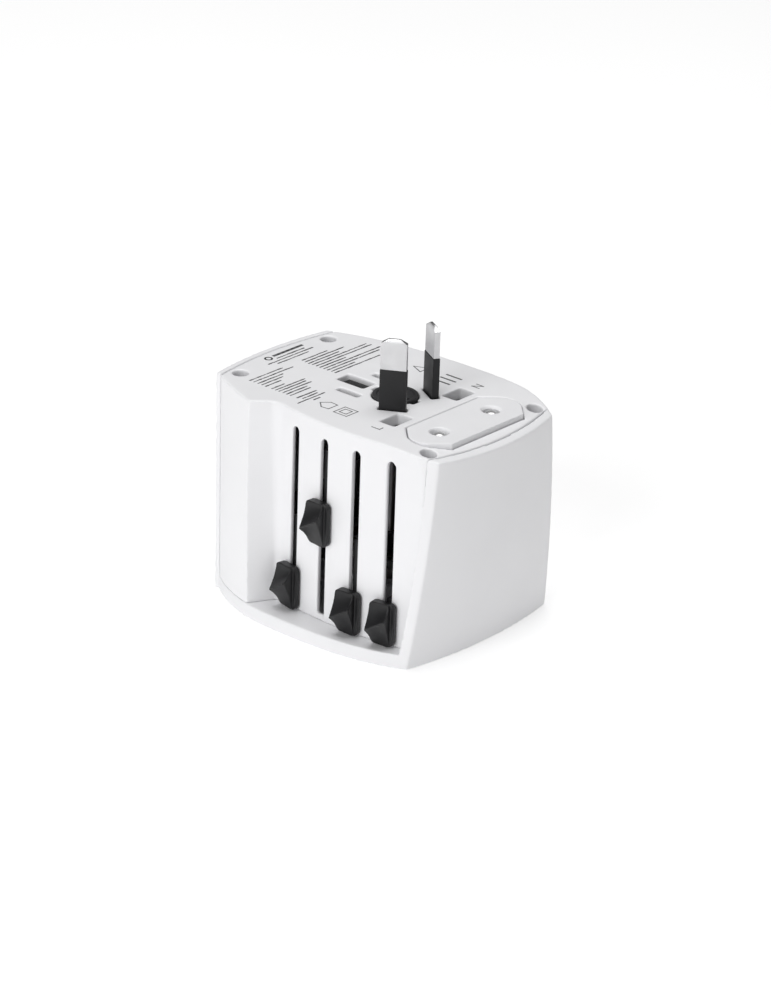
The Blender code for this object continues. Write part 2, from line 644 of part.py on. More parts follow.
def make_euro_plug():
    """A hollow plug block that rises from the plug face, and two round pins that rise through it."""
    frame = joint_frame("euro_slide", EURO_X, face_y(EURO_X), KNOB_BOTTOM)
    left, right = EURO_BLOCK_X - 1.9, EURO_BLOCK_X + 1.9
    front = face_y(right) + SLIDER_WALL + STEM_GAP
    pad = 2.4
    wide = (EURO_BLOCK_X - pad, EURO_BLOCK_X + pad)
    near, far = EURO_PIN_Y - pad, EURO_PIN_Y + pad
    outline = [(left, front), (right, front), (right, -far), (wide[1], -far), (wide[1], -near),
               (right, -near),
               (right, near), (wide[1], near), (wide[1], far), (wide[0], far), (wide[0], near), (left, near),
               (left, -near), (wide[0], -near), (wide[0], -far), (left, -far)]
    make_carrier("euro_carrier", EURO_X, outline, EURO_BAR_Z, 14.5, 0, frame)
    foot = EURO_BAR_Z[1] + GAP
    for side, word in ((-1, "first"), (1, "second")):
        y = side * EURO_PIN_Y
        pin = turned(f"euro_{word}_pin", EURO_BLOCK_X, y,
                     [(0, 53.0), (1.1, 52.8), (1.75, 52.2), (2.0, 51.2), (2.0, EURO_SLEEVE_TOP + 0.2),
                      (1.2, EURO_SLEEVE_TOP + 0.2), (1.2, foot), (0, foot)], NICKEL, 16)
        sleeve = turned(f"euro_{word}_sleeve", EURO_BLOCK_X, y,
                        [(1.9, EURO_SLEEVE_TOP), (1.9, foot), (1.4, foot), (1.4, EURO_SLEEVE_TOP)], BLACK, 16)
        carry(frame, [pin, sleeve])
    make_knob("euro_knob", EURO_X, 0, frame)

    rise = joint_frame("euro_block_rise", EURO_BLOCK_X, 0, HEIGHT)
    low = HEIGHT - EURO_BLOCK_HEIGHT
    block = hexagon_plug("euro_plug_block", EURO_BLOCK_X, 0, 0, (low, HEIGHT - 0.1), finish=WHITE)
    inside = hexagon_plug("block_hollow", EURO_BLOCK_X, 0, -1.6, (low - 1, HEIGHT - 4))
    bores = [cylinder(f"block_bore_{side}", EURO_BLOCK_X, side * EURO_PIN_Y, 2.35, (low, HEIGHT + 1))
             for side in (-1, 1)]
    carry(rise, [combine(block, [inside, *bores], "DIFFERENCE")])


# ---------------------------------------------------------------- fuse, bus bars and socket

def make_fuse():
    """A cartridge fuse upright in its holder, under a bayonet cap in the plug face."""
    turned("fuse_holder", FUSE_X, 0,
           [(6.3, 49.8), (6.3, 49.0), (4.0, 48.2), (4.0, 22.0), (2.0, 22.0), (2.0, 22.5), (3.0, 22.5),
            (3.0, 49.8)], INNER_GREY, 24)
    turned("fuse_tube", FUSE_X, 0, [(0, 41.2), (2.3, 41.2), (2.3, 32.6), (0, 32.6)], CERAMIC, 16)
    turned("fuse_lower_ferrule", FUSE_X, 0, [(0, 32.3), (2.6, 32.3), (2.6, 27.0), (0, 27.0)], NICKEL, 16)
    turned("fuse_upper_ferrule", FUSE_X, 0, [(0, 46.8), (2.6, 46.8), (2.6, 41.5), (0, 41.5)], NICKEL, 16)
    coil("fuse_spring", FUSE_X, 0, 2.1, 0.3, (23.2, 26.5), 4)
    cap = turned("fuse_cap", FUSE_X, 0,
                 [(0, 53.9), (5.1, 53.9), (FUSE_CAP_RADIUS, 53.55), (FUSE_CAP_RADIUS, 51.0), (2.6, 50.2),
                  (2.6, 47.1), (0, 47.1)], DARK, 32)
    lugs = box("cap_lugs", (FUSE_X - 1.2, FUSE_X + 1.2), (-6.2, 6.2), (50.2, 51.4))
    rim = cylinder("cap_lug_limit", FUSE_X, 0, 6.2, (50.1, 51.1))
    combine(lugs, [rim], "INTERSECT")
    combine(cap, [lugs], "UNION")
    coin = box("cap_coin_slot", (FUSE_X - 4.0, FUSE_X + 4.0), (-0.6, 0.6), (53.1, 55))
    combine(cap, [coin], "DIFFERENCE")


def coil(name, x, y, radius, wire, z, turns):
    """A coil spring of round wire."""
    curve = bpy.data.curves.new(name, "CURVE")
    curve.dimensions = "3D"
    curve.bevel_depth = wire * MM
    curve.bevel_resolution = 1
    curve.use_fill_caps = True
    per_turn = 10
    count = per_turn * turns + 1
    spline = curve.splines.new("POLY")
    spline.points.add(count - 1)
    for i, point in enumerate(spline.points):
        angle = 2 * math.pi * i / per_turn
        rise = z[0] + (z[1] - z[0]) * i / (count - 1)
        point.co = ((x + radius * math.cos(angle)) * MM, (y + radius * math.sin(angle)) * MM, rise * MM, 1)
    drawn = bpy.data.objects.new(name + "_path", curve)
    bpy.context.scene.collection.objects.link(drawn)
    bpy.context.view_layer.update()
    mesh = bpy.data.meshes.new_from_object(drawn.evaluated_get(bpy.context.evaluated_depsgraph_get()))
    bpy.data.objects.remove(drawn, do_unlink=True)
    bpy.data.curves.remove(curve)
    bm = bmesh.new()
    bm.from_mesh(mesh)
    bpy.data.meshes.remove(mesh)
    bmesh.ops.remove_doubles(bm, verts=bm.verts, dist=0.00001)
    bmesh.ops.scale(bm, vec=(1 / MM, 1 / MM, 1 / MM), verts=bm.verts)
    return finished(bm, name, STEEL, smooth=True)


def make_bus(name, side, taps, feed_end):
    """A stamped strip that reaches every pin of one pole and bends up beside it."""
    z = BUS_Z
    rail = sorted((side * 14.0, side * 16.4))
    bus = box(name, (-11.6, 20.7), rail, z, BRASS)
    joined = []
    for word, (x, y, riser_x, riser_y, top) in taps.items():
        reach = sorted((side * y, side * 15.0))
        joined.append(box(f"{name}_{word}_tab", x, reach, z))
        joined.append(box(f"{name}_{word}_riser", riser_x, sorted(side * v for v in riser_y),
                          (z[0] + 0.1, top)))
    joined.append(box(f"{name}_feed", feed_end[0], sorted(side * v for v in feed_end[1]), z))
    return combine(bus, joined, "UNION")


def make_contacts():
    """Bus bars with their contact fingers, the fuse's leads and the socket's clips."""
    taps = {"us": ((-11.6, -10.1), 5.4, (-10.85, -10.2), (5.3, 7.3), 45.0),
            "au": ((6.2, 9.8), 10.9, (6.4, 9.6), (10.8, 11.4), 45.0),
            "uk": ((15.1, 16.9), 9.1, (15.3, 15.95), (9.0, 13.0), 45.0),
            "euro": ((19.0, 20.8), 8.1, (20.2, 20.9), (8.0, 11.0), 32.0)}
    make_bus("line_bus_bar", -1, taps, ((-0.4, 1.4), (4.8, 15.0)))
    make_bus("neutral_bus_bar", 1, taps, ((-13.4, -11.4), (-1.4, 15.0)))
    box("fuse_feed_strip", (1.4, 13.4), (-1.4, 1.4), BUS_Z, BRASS)
    lead = box("fuse_lead", (-0.3, 1.3), (-5.5, -4.9), (22.0, 47.6), BRASS)
    foot = box("fuse_lead_foot", (-0.3, 1.3), (-7.2, -5.0), (22.0, 22.3))
    combine(lead, [foot], "UNION")
    for side, word in ((1, "line"), (-1, "neutral")):
        x = sorted((side * 6.6, side * 12.4))
        clip = box(f"{word}_socket_contact", x, (-2.9, 2.9), (17.6, CONTACT_Z[1]), BRASS)
        leaves = [box(f"{word}_leaf_{edge}", x, sorted((edge * 2.9, edge * 2.4)), (CONTACT_Z[0], 18.0))
                  for edge in (-1, 1)]
        tab = box(f"{word}_contact_tab", sorted((side * 12.4, side * 11.8)), (-1.2, 1.2), (17.8, 20.6))
        combine(clip, [*leaves, tab], "UNION")


def make_chassis():
    """The inner frame that carries the bus bars over the socket contacts."""
    chassis = box("contact_chassis", (-26, 20.6), (-16.8, 16.8), CHASSIS_Z, INNER_GREY)
    legs = [box(f"chassis_leg_{x}_{y}", (x - 1.5, x + 1.5), (y - 1.5, y + 1.5), (FLANGE_TOP + GAP, 19))
            for x in (-24, 18.9) for y in (-14, 14)]
    pivot = cylinder("shutter_pivot", 0, 0, 1.6, (WELL_TOP + GAP, 19), segments=16)
    combine(chassis, [*legs, pivot], "UNION")
    slots = [box(f"chassis_slot_{side}", sorted((side * 11.5, side * 12.7)), (-1.5, 1.5), (18, 21))
             for side in (-1, 1)]
    return combine(chassis, slots, "DIFFERENCE")


def make_shutter():
    """A turning safety disc over the socket holes, and the torsion spring that closes it."""
    disc = cylinder("socket_shutter", 0, 0, 13.2, SHUTTER_Z, WHITE, 40)
    through = (SHUTTER_Z[0] - 1, SHUTTER_Z[1] + 1)
    holes = [cylinder("shutter_bore", 0, 0, 1.9, through, segments=16)]
    for side in (0, math.pi):
        angle = math.radians(38) + side
        holes.append(cylinder(f"shutter_window_{side:.0f}", SOCKET_PIN_X * math.cos(angle),
                              SOCKET_PIN_X * math.sin(angle), 2.9, through, segments=20))
    combine(disc, holes, "DIFFERENCE")
    coil("shutter_spring", 0, 0, 2.6, 0.35, (12.2, 17.2), 5)


make_outer_shell()
make_plug_housing()
make_screws()
make_us_plug()
make_au_plug()
make_uk_plug()
make_euro_plug()
make_fuse()
make_contacts()
make_chassis()
make_shutter()
for item in [*PARTS.objects, *CUTTERS.objects]:
    if item.parent is None:
        item.location.x += SOCKET_X * MM
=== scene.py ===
import json
import math
import random

import bmesh
import bpy
from mathutils import Matrix, Vector

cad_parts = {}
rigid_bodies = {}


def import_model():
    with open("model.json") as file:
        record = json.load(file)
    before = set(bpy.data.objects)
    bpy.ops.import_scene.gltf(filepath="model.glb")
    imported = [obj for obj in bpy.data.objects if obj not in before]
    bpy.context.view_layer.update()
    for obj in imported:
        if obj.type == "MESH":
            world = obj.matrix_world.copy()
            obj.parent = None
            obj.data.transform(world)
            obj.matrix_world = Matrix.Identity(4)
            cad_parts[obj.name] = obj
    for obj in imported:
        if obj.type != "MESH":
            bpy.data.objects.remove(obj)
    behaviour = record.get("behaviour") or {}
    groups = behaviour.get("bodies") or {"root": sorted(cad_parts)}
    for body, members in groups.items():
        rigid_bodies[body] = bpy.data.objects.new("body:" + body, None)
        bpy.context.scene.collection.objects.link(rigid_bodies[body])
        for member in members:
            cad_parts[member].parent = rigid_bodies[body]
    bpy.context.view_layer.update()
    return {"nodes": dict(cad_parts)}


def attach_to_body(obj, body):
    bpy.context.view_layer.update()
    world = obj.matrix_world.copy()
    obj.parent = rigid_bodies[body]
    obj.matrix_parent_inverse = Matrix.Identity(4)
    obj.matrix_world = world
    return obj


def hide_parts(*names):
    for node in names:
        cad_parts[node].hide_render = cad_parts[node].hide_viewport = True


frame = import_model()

MM = 0.001
SOCKET_X = 1.1
BODY = "adapter_body"

# The body's form, as the frame has it.
HEIGHT = 53.5
LEFT_X = (-32.7, -36.6)
RIGHT_X_TOP = 33.6
RIGHT_X_SWEEP = 3.4
LEFT_BULGE = 1.9
RIGHT_BULGE = 2.65
LEFT_Y = (23.2, 19.7)
RIGHT_Y = (25.4, 20.3)
BACK_ARCH = ((31.3, 26.7), (-2.1, 5.7), (2.77, 2.77), (0, 0))
FRONT_ARCH = ((31.3, 29.7), (-2.1, -2.0), (2.77, 2.0), (1.5, 1.5))
FACE_FALL_START = 17.5
FACE_FALL = 0.0074
FLANGE_TOP = 3.5
CHEEKS = (1.5, 2.2)
SEAM = 0.28
WALL = 1.5
END_WALL = 1.0
PLATE = 2.2
SLIDER_WALL = 1.3
WELL_DEPTH = 8.0
WELL_TOP = 9.6

# The slider face and its four slots.
FACE_Y = -25.05
FACE_MID_X = 7.8
FACE_SQUARE = 0.0053
RECESS_END_X = 38.0
RECESS_WALL = (((-15.1, -29.3), (-12.3, -24.2), (-11.6, -23.05), (-9.0, -23.55)),
               ((-19.5, -27.2), (-15.6, -23.7), (-14.4, -22.6), (-12.0, -22.97)))
SLIDERS = {"us": -7.1, "au": 2.7, "uk": 12.5, "euro": 22.3}
SLOT_WIDTH = 2.2
SLOT_BOTTOM = 5.0
SLOT_TOP = 49.6

# Plug hardware in the plug face: places as X and half the spacing in Y, holes as half sizes in X and Y.
UK_LINE = (12.5, 11.1)
UK_HOLE = (2.25, 3.4)
UK_COLLAR = (3.1, 4.3)
UK_COLLAR_UNDER = 50.4
UK_EARTH_X = -9.73
UK_EARTH_HOLE = (4.25, 2.25)
US_BLADE = (-6.3, 6.35)
US_HOLE = (3.45, 1.0)
AU_BLADE = (7.7, 6.86)
AU_HOLE = (3.5, 1.12)
AU_ANGLE = math.radians(30)
AU_FOOT = 46.3
AU_SLEEVE_TOP = 63.3
AU_BLADE_TOP = 71.0
EURO_BLOCK_X = 24.1
EURO_BLOCK_HALF = (6.85, 12.87)
EURO_BLOCK_DEPTH = 20
EURO_TIP_RADIUS = 5.0
EURO_PIN_Y = 9.3
EURO_PIN_FOOT = 8.5
EURO_SLEEVE_TOP = 44.0
FUSE_X = 2.6
FUSE_CAP_RADIUS = 5.45
FUSE_NOTCH = (6.6, 1.3)

# The socket end's holes.
SOCKET_PIN_X = 9.5
SOCKET_HOLE_RADIUS = 2.7
SOCKET_SLOT_X = 6.35
SOCKET_SLOT = (0.95, 3.7)

# Screws, each as X, Y, the height of its head's top and the height where its boss meets the shell's post.
SCREWS = [(x, y * side, top, deep)
          for x, y, top, deep in ((-32.4, 15.6, 51.3, 46.3), (29.2, 19.1, 43.0, 36.3))
          for side in (-1, 1)]
SCREW_BORE_RADIUS = 1.5
SCREW_RECESS_RADIUS = 1.95
POST_RADIUS = 2.6
POST_ROOM_RADIUS = 2.9
Z_LEVELS = [HEIGHT * i / 12 for i in range(13)]


# ---------------------------------------------------------------- materials

# Noise values lie mostly within these limits.  Noise scales are waves per metre.
NOISE_RANGE = (0.3, 0.7)
MOTTLE_RANGE = (0.35, 0.65)
MOTTLE_SCALE = 55
GLOSS_SCALE = 260
SPOT_SCALE = 240
LINE_SCALE = 900


def shader_of(name):
    """A new node material and its Principled shader."""
    material = bpy.data.materials.new(name)
    material.use_nodes = True
    return material, material.node_tree.nodes["Principled BSDF"]


def noise(tree, scale, detail=3.0, stretch=(1, 1, 1)):
    """Noise in the object's own space, scale being waves per metre."""
    place = tree.nodes.new("ShaderNodeTexCoord")
    mapping = tree.nodes.new("ShaderNodeMapping")
    mapping.inputs["Scale"].default_value = stretch
    texture = tree.nodes.new("ShaderNodeTexNoise")
    texture.inputs["Scale"].default_value = scale
    texture.inputs["Detail"].default_value = detail
    tree.links.new(place.outputs["Object"], mapping.inputs["Vector"])
    tree.links.new(mapping.outputs["Vector"], texture.inputs["Vector"])
    return texture.outputs["Fac"]


def ramp(tree, source, limits, colours):
    """A value within limits spread between two colours."""
    step = tree.nodes.new("ShaderNodeValToRGB")
    for element, position, colour in zip(step.color_ramp.elements, limits, colours):
        element.position = position
        element.color = (*colour, 1)
    tree.links.new(source, step.inputs["Fac"])
    return step.outputs["Color"]


def spread(tree, source, low, high):
    """A value spread between two numbers."""
    step = tree.nodes.new("ShaderNodeMapRange")
    step.inputs["From Min"].default_value = NOISE_RANGE[0]
    step.inputs["From Max"].default_value = NOISE_RANGE[1]
    step.inputs["To Min"].default_value = low
    step.inputs["To Max"].default_value = high
    tree.links.new(source, step.inputs["Value"])
    return step.outputs["Result"]


def grain(tree, shader, height, depth_mm, strength):
    """Surface relief from a height field."""
    bump = tree.nodes.new("ShaderNodeBump")
    bump.inputs["Strength"].default_value = strength
    bump.inputs["Distance"].default_value = depth_mm * MM
    tree.links.new(height, bump.inputs["Height"])
    tree.links.new(bump.outputs["Normal"], shader.inputs["Normal"])


def plastic(name, light, dark, roughness, grain_scale, depth_mm, strength, specular=0.5):
    """Moulded plastic: faint mottling, uneven gloss, and a spark-eroded grain of some scale and depth."""
    material, shader = shader_of(name)
    tree = material.node_tree
    mottle = noise(tree, MOTTLE_SCALE, 4)
    tree.links.new(ramp(tree, mottle, MOTTLE_RANGE, (dark, light)), shader.inputs["Base Color"])
    tree.links.new(spread(tree, noise(tree, GLOSS_SCALE), *roughness), shader.inputs["Roughness"])
    shader.inputs["Specular IOR Level"].default_value = specular
    grain(tree, shader, noise(tree, grain_scale, 2), depth_mm, strength)
    return material


def metal(name, light, dark, roughness, stretch, depth_mm=0.01, strength=0.25):
    """Plated or drawn metal with fine lines along its length and a few dull spots."""
    material, shader = shader_of(name)
    tree = material.node_tree
    lines = noise(tree, LINE_SCALE, 4, stretch)
    spots = noise(tree, SPOT_SCALE, 4)
    tree.links.new(ramp(tree, spots, NOISE_RANGE, (dark, light)), shader.inputs["Base Color"])
    tree.links.new(spread(tree, lines, *roughness), shader.inputs["Roughness"])
    shader.inputs["Metallic"].default_value = 1.0
    grain(tree, shader, lines, depth_mm, strength)
    return material


WHITE = plastic("white_abs", (0.882, 0.882, 0.897), (0.866, 0.866, 0.882), (0.36, 0.46), 2600, 0.012, 0.22)
WHITE_GLOSS = plastic("white_polished", (0.885, 0.885, 0.89), (0.872, 0.872, 0.878), (0.26, 0.34), 1500, 0.01,
                      0.12)
BLACK = plastic("black_grained", (0.012, 0.012, 0.013), (0.008, 0.008, 0.009), (0.30, 0.42), 3400, 0.02, 0.35,
                0.35)
SLEEVE = plastic("black_sleeve", (0.014, 0.014, 0.015), (0.009, 0.009, 0.01), (0.38, 0.5), 2400, 0.02,
                 0.3, 0.35)
DARK = plastic("fuse_cap_grey", (0.035, 0.035, 0.038), (0.026, 0.026, 0.028), (0.36, 0.5), 2600, 0.02,
               0.35, 0.4)
CARRIER = plastic("carrier_black", (0.035, 0.035, 0.037), (0.027, 0.027, 0.029), (0.45, 0.58), 1800,
                  0.02, 0.3)
INNER = plastic("inner_nylon", (0.16, 0.16, 0.165), (0.13, 0.13, 0.135), (0.5, 0.62), 1800, 0.02, 0.3)
CERAMIC = plastic("fuse_ceramic", (0.80, 0.78, 0.72), (0.74, 0.72, 0.66), (0.28, 0.4), 900, 0.01, 0.2)
INK = plastic("grey_print", (0.13, 0.13, 0.135), (0.09, 0.09, 0.095), (0.5, 0.62), 2000, 0.004, 0.2)
NICKEL = metal("nickel_plate", (0.655, 0.655, 0.665), (0.58, 0.58, 0.59), (0.3, 0.42), (1, 1, 0.12))
# Nickel plate made paler than NICKEL, with the same roughness: painted light, so the round pins' domes read
# bright sunk in their mouths.
BRIGHTENED_NICKEL = metal("nickel_plate_painted_light", (0.86, 0.86, 0.86), (0.78, 0.78, 0.78), (0.3, 0.42), (1, 1, 0.3))
BRASS = metal("stamped_brass", (0.80, 0.60, 0.28), (0.68, 0.48, 0.20), (0.26, 0.42), (1, 1, 0.2))
# Brass darkened almost to black: painted shade on the bus bars, feed strip and fuse lead inside the body.
SHADED_BRASS = metal("brass_painted_shade", (0.10, 0.09, 0.075), (0.07, 0.062, 0.05), (0.4, 0.6), (1, 1, 0.2))
# Steel darkened: partly the screws' own grey, partly painted shade for the screw heads at the bottom of their
# recesses.
SHADED_STEEL = metal("zinc_steel_painted_shade", (0.40, 0.40, 0.42), (0.27, 0.27, 0.29), (0.28, 0.45), (1, 1, 0.4))


# ---------------------------------------------------------------- mesh helpers

def place_object(name, mesh):
    """A mesh linked to the scene."""
    item = bpy.data.objects.new(name, mesh)
    bpy.context.scene.collection.objects.link(item)
    return item


def solid(name, bm):
    """A scratch solid from a bmesh drawn in millimetres."""
    bmesh.ops.translate(bm, vec=(SOCKET_X, 0, 0), verts=bm.verts)
    bmesh.ops.scale(bm, vec=(MM, MM, MM), verts=bm.verts)
    bmesh.ops.recalc_face_normals(bm, faces=bm.faces)
    mesh = bpy.data.meshes.new(name)
    bm.to_mesh(mesh)
    bm.free()
    return place_object(name, mesh)


def span(half):
    """Limits either side of zero."""
    return -half, half


def box(name, x, y, z, turn=0.0, at=(0, 0)):
    """A box between limits, then turned about the vertical and moved to a place."""
    bm = bmesh.new()
    bmesh.ops.create_cube(bm, size=1)
    size = (x[1] - x[0], y[1] - y[0], z[1] - z[0])
    middle = Vector((x[0] + x[1], y[0] + y[1], z[0] + z[1])) / 2
    place = Matrix.Translation((*at, 0)) @ Matrix.Rotation(turn, 4, "Z")
    place = place @ Matrix.Translation(middle) @ Matrix.Diagonal((*size, 1))
    bmesh.ops.transform(bm, matrix=place, verts=bm.verts)
    return solid(name, bm)


def cylinder(name, x, y, radius, z, segments=48, top_radius=None):
    """An upright cylinder or cone between two heights."""
    bm = bmesh.new()
    place = Matrix.Translation((x, y, (z[0] + z[1]) / 2))
    bmesh.ops.create_cone(bm, cap_ends=True, segments=segments, radius1=radius,
                          radius2=radius if top_radius is None else top_radius, depth=z[1] - z[0],
                          matrix=place)
    return solid(name, bm)


def prism(name, outline, z, upright=False, at_x=0.0):
    """An outline extruded between two heights, or along Y when it is drawn upright in X and Z."""
    bm = bmesh.new()
    face = bm.faces.new([bm.verts.new((x, y, z[0])) for x, y in outline])
    top = bmesh.ops.extrude_face_region(bm, geom=[face])["geom"]
    moved = [item for item in top if isinstance(item, bmesh.types.BMVert)]
    bmesh.ops.translate(bm, vec=(0, 0, z[1] - z[0]), verts=moved)
    if upright:
        bmesh.ops.rotate(bm, cent=(0, 0, 0), matrix=Matrix.Rotation(math.pi / 2, 3, "X"), verts=bm.verts)
    bmesh.ops.translate(bm, vec=(at_x, 0, 0), verts=bm.verts)
    return solid(name, bm)


def loft(bm, rings):
    """Skin a stack of rings and close its two ends."""
    count = len(rings[0])
    for lower, upper in zip(rings, rings[1:]):
        for i in range(count):
            j = (i + 1) % count
            bm.faces.new((lower[i], lower[j], upper[j], upper[i]))
    bm.faces.new(reversed(rings[0]))
    bm.faces.new(rings[-1])


def combine(item, others, operation):
    """Join, cut or intersect, with Booleans left on the scratch solid."""
    for other in others:
        step = item.modifiers.new(other.name, "BOOLEAN")
        step.operation = operation
        step.solver = "EXACT"
        step.object = other
    return item


def settled(name, source):
    """A clean object made from a scratch solid with its modifiers applied."""
    bpy.context.view_layer.update()
    graph = bpy.context.evaluated_depsgraph_get()
    mesh = bpy.data.meshes.new_from_object(source.evaluated_get(graph))
    mesh.name = name
    return place_object(name, mesh)


def clear_scratch(keep):
    """Remove the scratch solids made since the list of objects to keep was taken."""
    for item in [o for o in bpy.context.scene.objects if o not in keep]:
        bpy.data.objects.remove(item, do_unlink=True)


def attach(item, body, material, nodes=()):
    """Give a piece its body, its finish and the CAD nodes that it stands for."""
    item.data.materials.clear()
    item.data.materials.append(material)
    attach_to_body(item, body)
    if nodes:
        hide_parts(*nodes)
    return item


def moulded(name, make, voxel, rounds, share):
    """A moulding: the solid is remeshed finely, its edges are eased in a few rounds, and a share is kept."""
    keep = set(bpy.context.scene.objects)
    source = make()
    remesh = source.modifiers.new("fine_mesh", "REMESH")
    remesh.mode = "VOXEL"
    remesh.voxel_size = voxel * MM
    ease = source.modifiers.new("eased_edges", "SMOOTH")
    ease.factor = 0.5
    ease.iterations = rounds
    thin = source.modifiers.new("thinned", "DECIMATE")
    thin.ratio = share
    item = settled(name, source)
    clear_scratch(keep | {item})
    item.data.shade_smooth()
    return item


def bevelled(item, width, segments=3, angle=35):
    """Round the sharp edges of a piece and shade it smoothly."""
    bevel = item.modifiers.new("rounded_edges", "BEVEL")
    bevel.width = width * MM
    bevel.segments = segments
    bevel.limit_method = "ANGLE"
    bevel.angle_limit = math.radians(angle)
    bevel.harden_normals = True
    item.data.shade_smooth()
    return item


# ---------------------------------------------------------------- the body's outer form

def between(pair, z):
    """A body measure at height z."""
    return pair[0] + (pair[1] - pair[0]) * z / HEIGHT


def right_x(z):
    """Where the +X corners stand at height z."""
    return RIGHT_X_TOP - RIGHT_X_SWEEP * (1 - z / HEIGHT) ** 2


def long_y(x, z, arch):
    """Half width of the body at x: a flat arch that falls to the corners."""
    crown, middle, power, land = (between(pair, z) for pair in arch)
    end_x, end_y = between(LEFT_X, z) + land, between(LEFT_Y, z)
    if x > middle:
        end_x, end_y = right_x(z), between(RIGHT_Y, z)
    share = min(abs(x - middle) / abs(end_x - middle), 1)
    return crown - (crown - end_y) * share ** power


def cheeks_and(extra):
    """The two cheeks' thicknesses, each with something added."""
    return CHEEKS[0] + extra, CHEEKS[1] + extra


def section(z, end_insets, long_inset):
    """The body's outline at height z, drawn in from the two ends and from the two long sides."""
    left = between(LEFT_X, z) + end_insets[0]
    right = right_x(z) - end_insets[1]
    steps = 44
    along = [left + (right - left) * (1 - math.cos(math.pi * i / steps)) / 2 for i in range(steps + 1)]
    front = [(x, -long_y(x, z, FRONT_ARCH) + long_inset) for x in along]
    back = [(x, long_y(x, z, BACK_ARCH) - long_inset) for x in reversed(along)]
    sides = []
    for x, start, end, half, bulge in ((right, front[-1][1], back[0][1], between(RIGHT_Y, z), RIGHT_BULGE),
                                       (left, back[-1][1], front[0][1], between(LEFT_Y, z), -LEFT_BULGE)):
        across = [start + (end - start) * i / 24 for i in range(1, 24)]
        sides.append([(x + bulge * (1 - (y / half) ** 2), y) for y in across])
    return front + sides[0] + back + sides[1]


def body_loft(name, levels, end_insets, long_inset):
    """A solid lofted through the body's outlines."""
    bm = bmesh.new()
    rings = [[bm.verts.new((x, y, z)) for x, y in section(z, end_insets, long_inset)] for z in levels]
    loft(bm, rings)
    return solid(name, bm)


def rise(low, high, count=10):
    """Evenly spaced levels for a loft."""
    return [low + (high - low) * i / count for i in range(count + 1)]


def face_y(x):
    """Where the slider face stands at x."""
    return FACE_Y + FACE_SQUARE * (x - FACE_MID_X) ** 2


def face_turn(x):
    """How far the slider face is turned about the vertical at x."""
    return math.atan(2 * FACE_SQUARE * (x - FACE_MID_X))


def fall_cutter(name, top=HEIGHT):
    """Cuts a face at height top where it curves down towards the +X end."""
    steps = 32
    end = 40.0
    xs = [FACE_FALL_START + (end - FACE_FALL_START) * i / steps for i in range(steps + 1)]
    low = [(x, top - FACE_FALL * (x - FACE_FALL_START) ** 2) for x in xs]
    outline = low + [(end, HEIGHT + 5), (FACE_FALL_START - 1, HEIGHT + 5), (FACE_FALL_START - 1, top)]
    return prism(name, outline, (-40, 40), upright=True)


def hexagon(name, x, grow, z, along_x=False):
    """The European plug outline: long sides, 45 degree ends and round tips."""
    half_width, corner = EURO_BLOCK_HALF
    tip_radius = EURO_TIP_RADIUS + grow
    tip_centre = corner + half_width - EURO_TIP_RADIUS * math.sqrt(2)
    half_width += grow
    corner += grow * (math.sqrt(2) - 1)
    end = [(half_width, corner)]
    for i in range(13):
        angle = math.radians(45 + 7.5 * i)
        end.append((tip_radius * math.cos(angle), tip_centre + tip_radius * math.sin(angle)))
    end.append((-half_width, corner))
    outline = end + [(-px, -py) for px, py in end]
    if along_x:
        outline = [(py, -px) for px, py in outline]
    return prism(name, [(x + px, py) for px, py in outline], z)


# ---------------------------------------------------------------- shells

def outer_shell_solid():
    """The U-shaped cover: socket end, flange and two cheeks."""
    shell = body_loft("shell", Z_LEVELS, (0, 0), 0)
    combine(shell, [body_loft("shell_hollow", rise(FLANGE_TOP, HEIGHT + 2), CHEEKS, -6)], "DIFFERENCE")
    combine(shell, [hexagon("well_wall", 0, 1.6, (1, WELL_TOP), True)], "UNION")
    posts = []
    for i, (x, y, _top, deep) in enumerate(SCREWS):
        post = cylinder(f"post_{i}", x, y, POST_RADIUS, (1, deep - 0.3))
        combine(post, [body_loft(f"post_limit_{i}", rise(0, HEIGHT), (0.6, 0.6), 0.6)], "INTERSECT")
        posts.append(post)
    combine(shell, posts, "UNION")
    cuts = [hexagon("well", 0, 0.4, (-1, WELL_DEPTH), True), fall_cutter("shell_fall")]
    for side in (-1, 1):
        cuts.append(cylinder(f"socket_hole_{side}", side * SOCKET_PIN_X, 0, SOCKET_HOLE_RADIUS, (5, 12)))
        cuts.append(box(f"socket_slot_{side}", span(SOCKET_SLOT[0]), span(SOCKET_SLOT[1]), (5, 12), 0,
                        (side * SOCKET_SLOT_X, 0)))
    for i, (x, y, _top, deep) in enumerate(SCREWS):
        cuts.append(cylinder(f"post_bore_{i}", x, y, SCREW_BORE_RADIUS, (deep - 16, deep + 1)))
    return combine(shell, cuts, "DIFFERENCE")


RECESS_WALL_STEPS = 8
RECESS_BEND_STEPS = 12
RECESS_FACE_STEPS = 60
RECESS_LEVELS = 60
RECESS_OUT_Y = -45


def recess_outline(share):
    """Plan of the slider recess, share being 0 at the socket end and 1 at the plug face."""
    corner, foot, bend, meet = (Vector(low).lerp(Vector(high), share) for low, high in zip(*RECESS_WALL))
    outside = corner + (corner - foot) * 2
    points = [outside.lerp(foot, i / RECESS_WALL_STEPS) for i in range(RECESS_WALL_STEPS + 1)]
    for i in range(1, RECESS_BEND_STEPS):
        t = i / RECESS_BEND_STEPS
        points.append(foot.lerp(bend, t).lerp(bend.lerp(meet, t), t))
    for i in range(RECESS_FACE_STEPS + 1):
        x = meet.x + (RECESS_END_X - meet.x) * i / RECESS_FACE_STEPS
        points.append((x, face_y(x)))
    return [tuple(point) for point in points] + [(RECESS_END_X, RECESS_OUT_Y), (outside.x, RECESS_OUT_Y)]


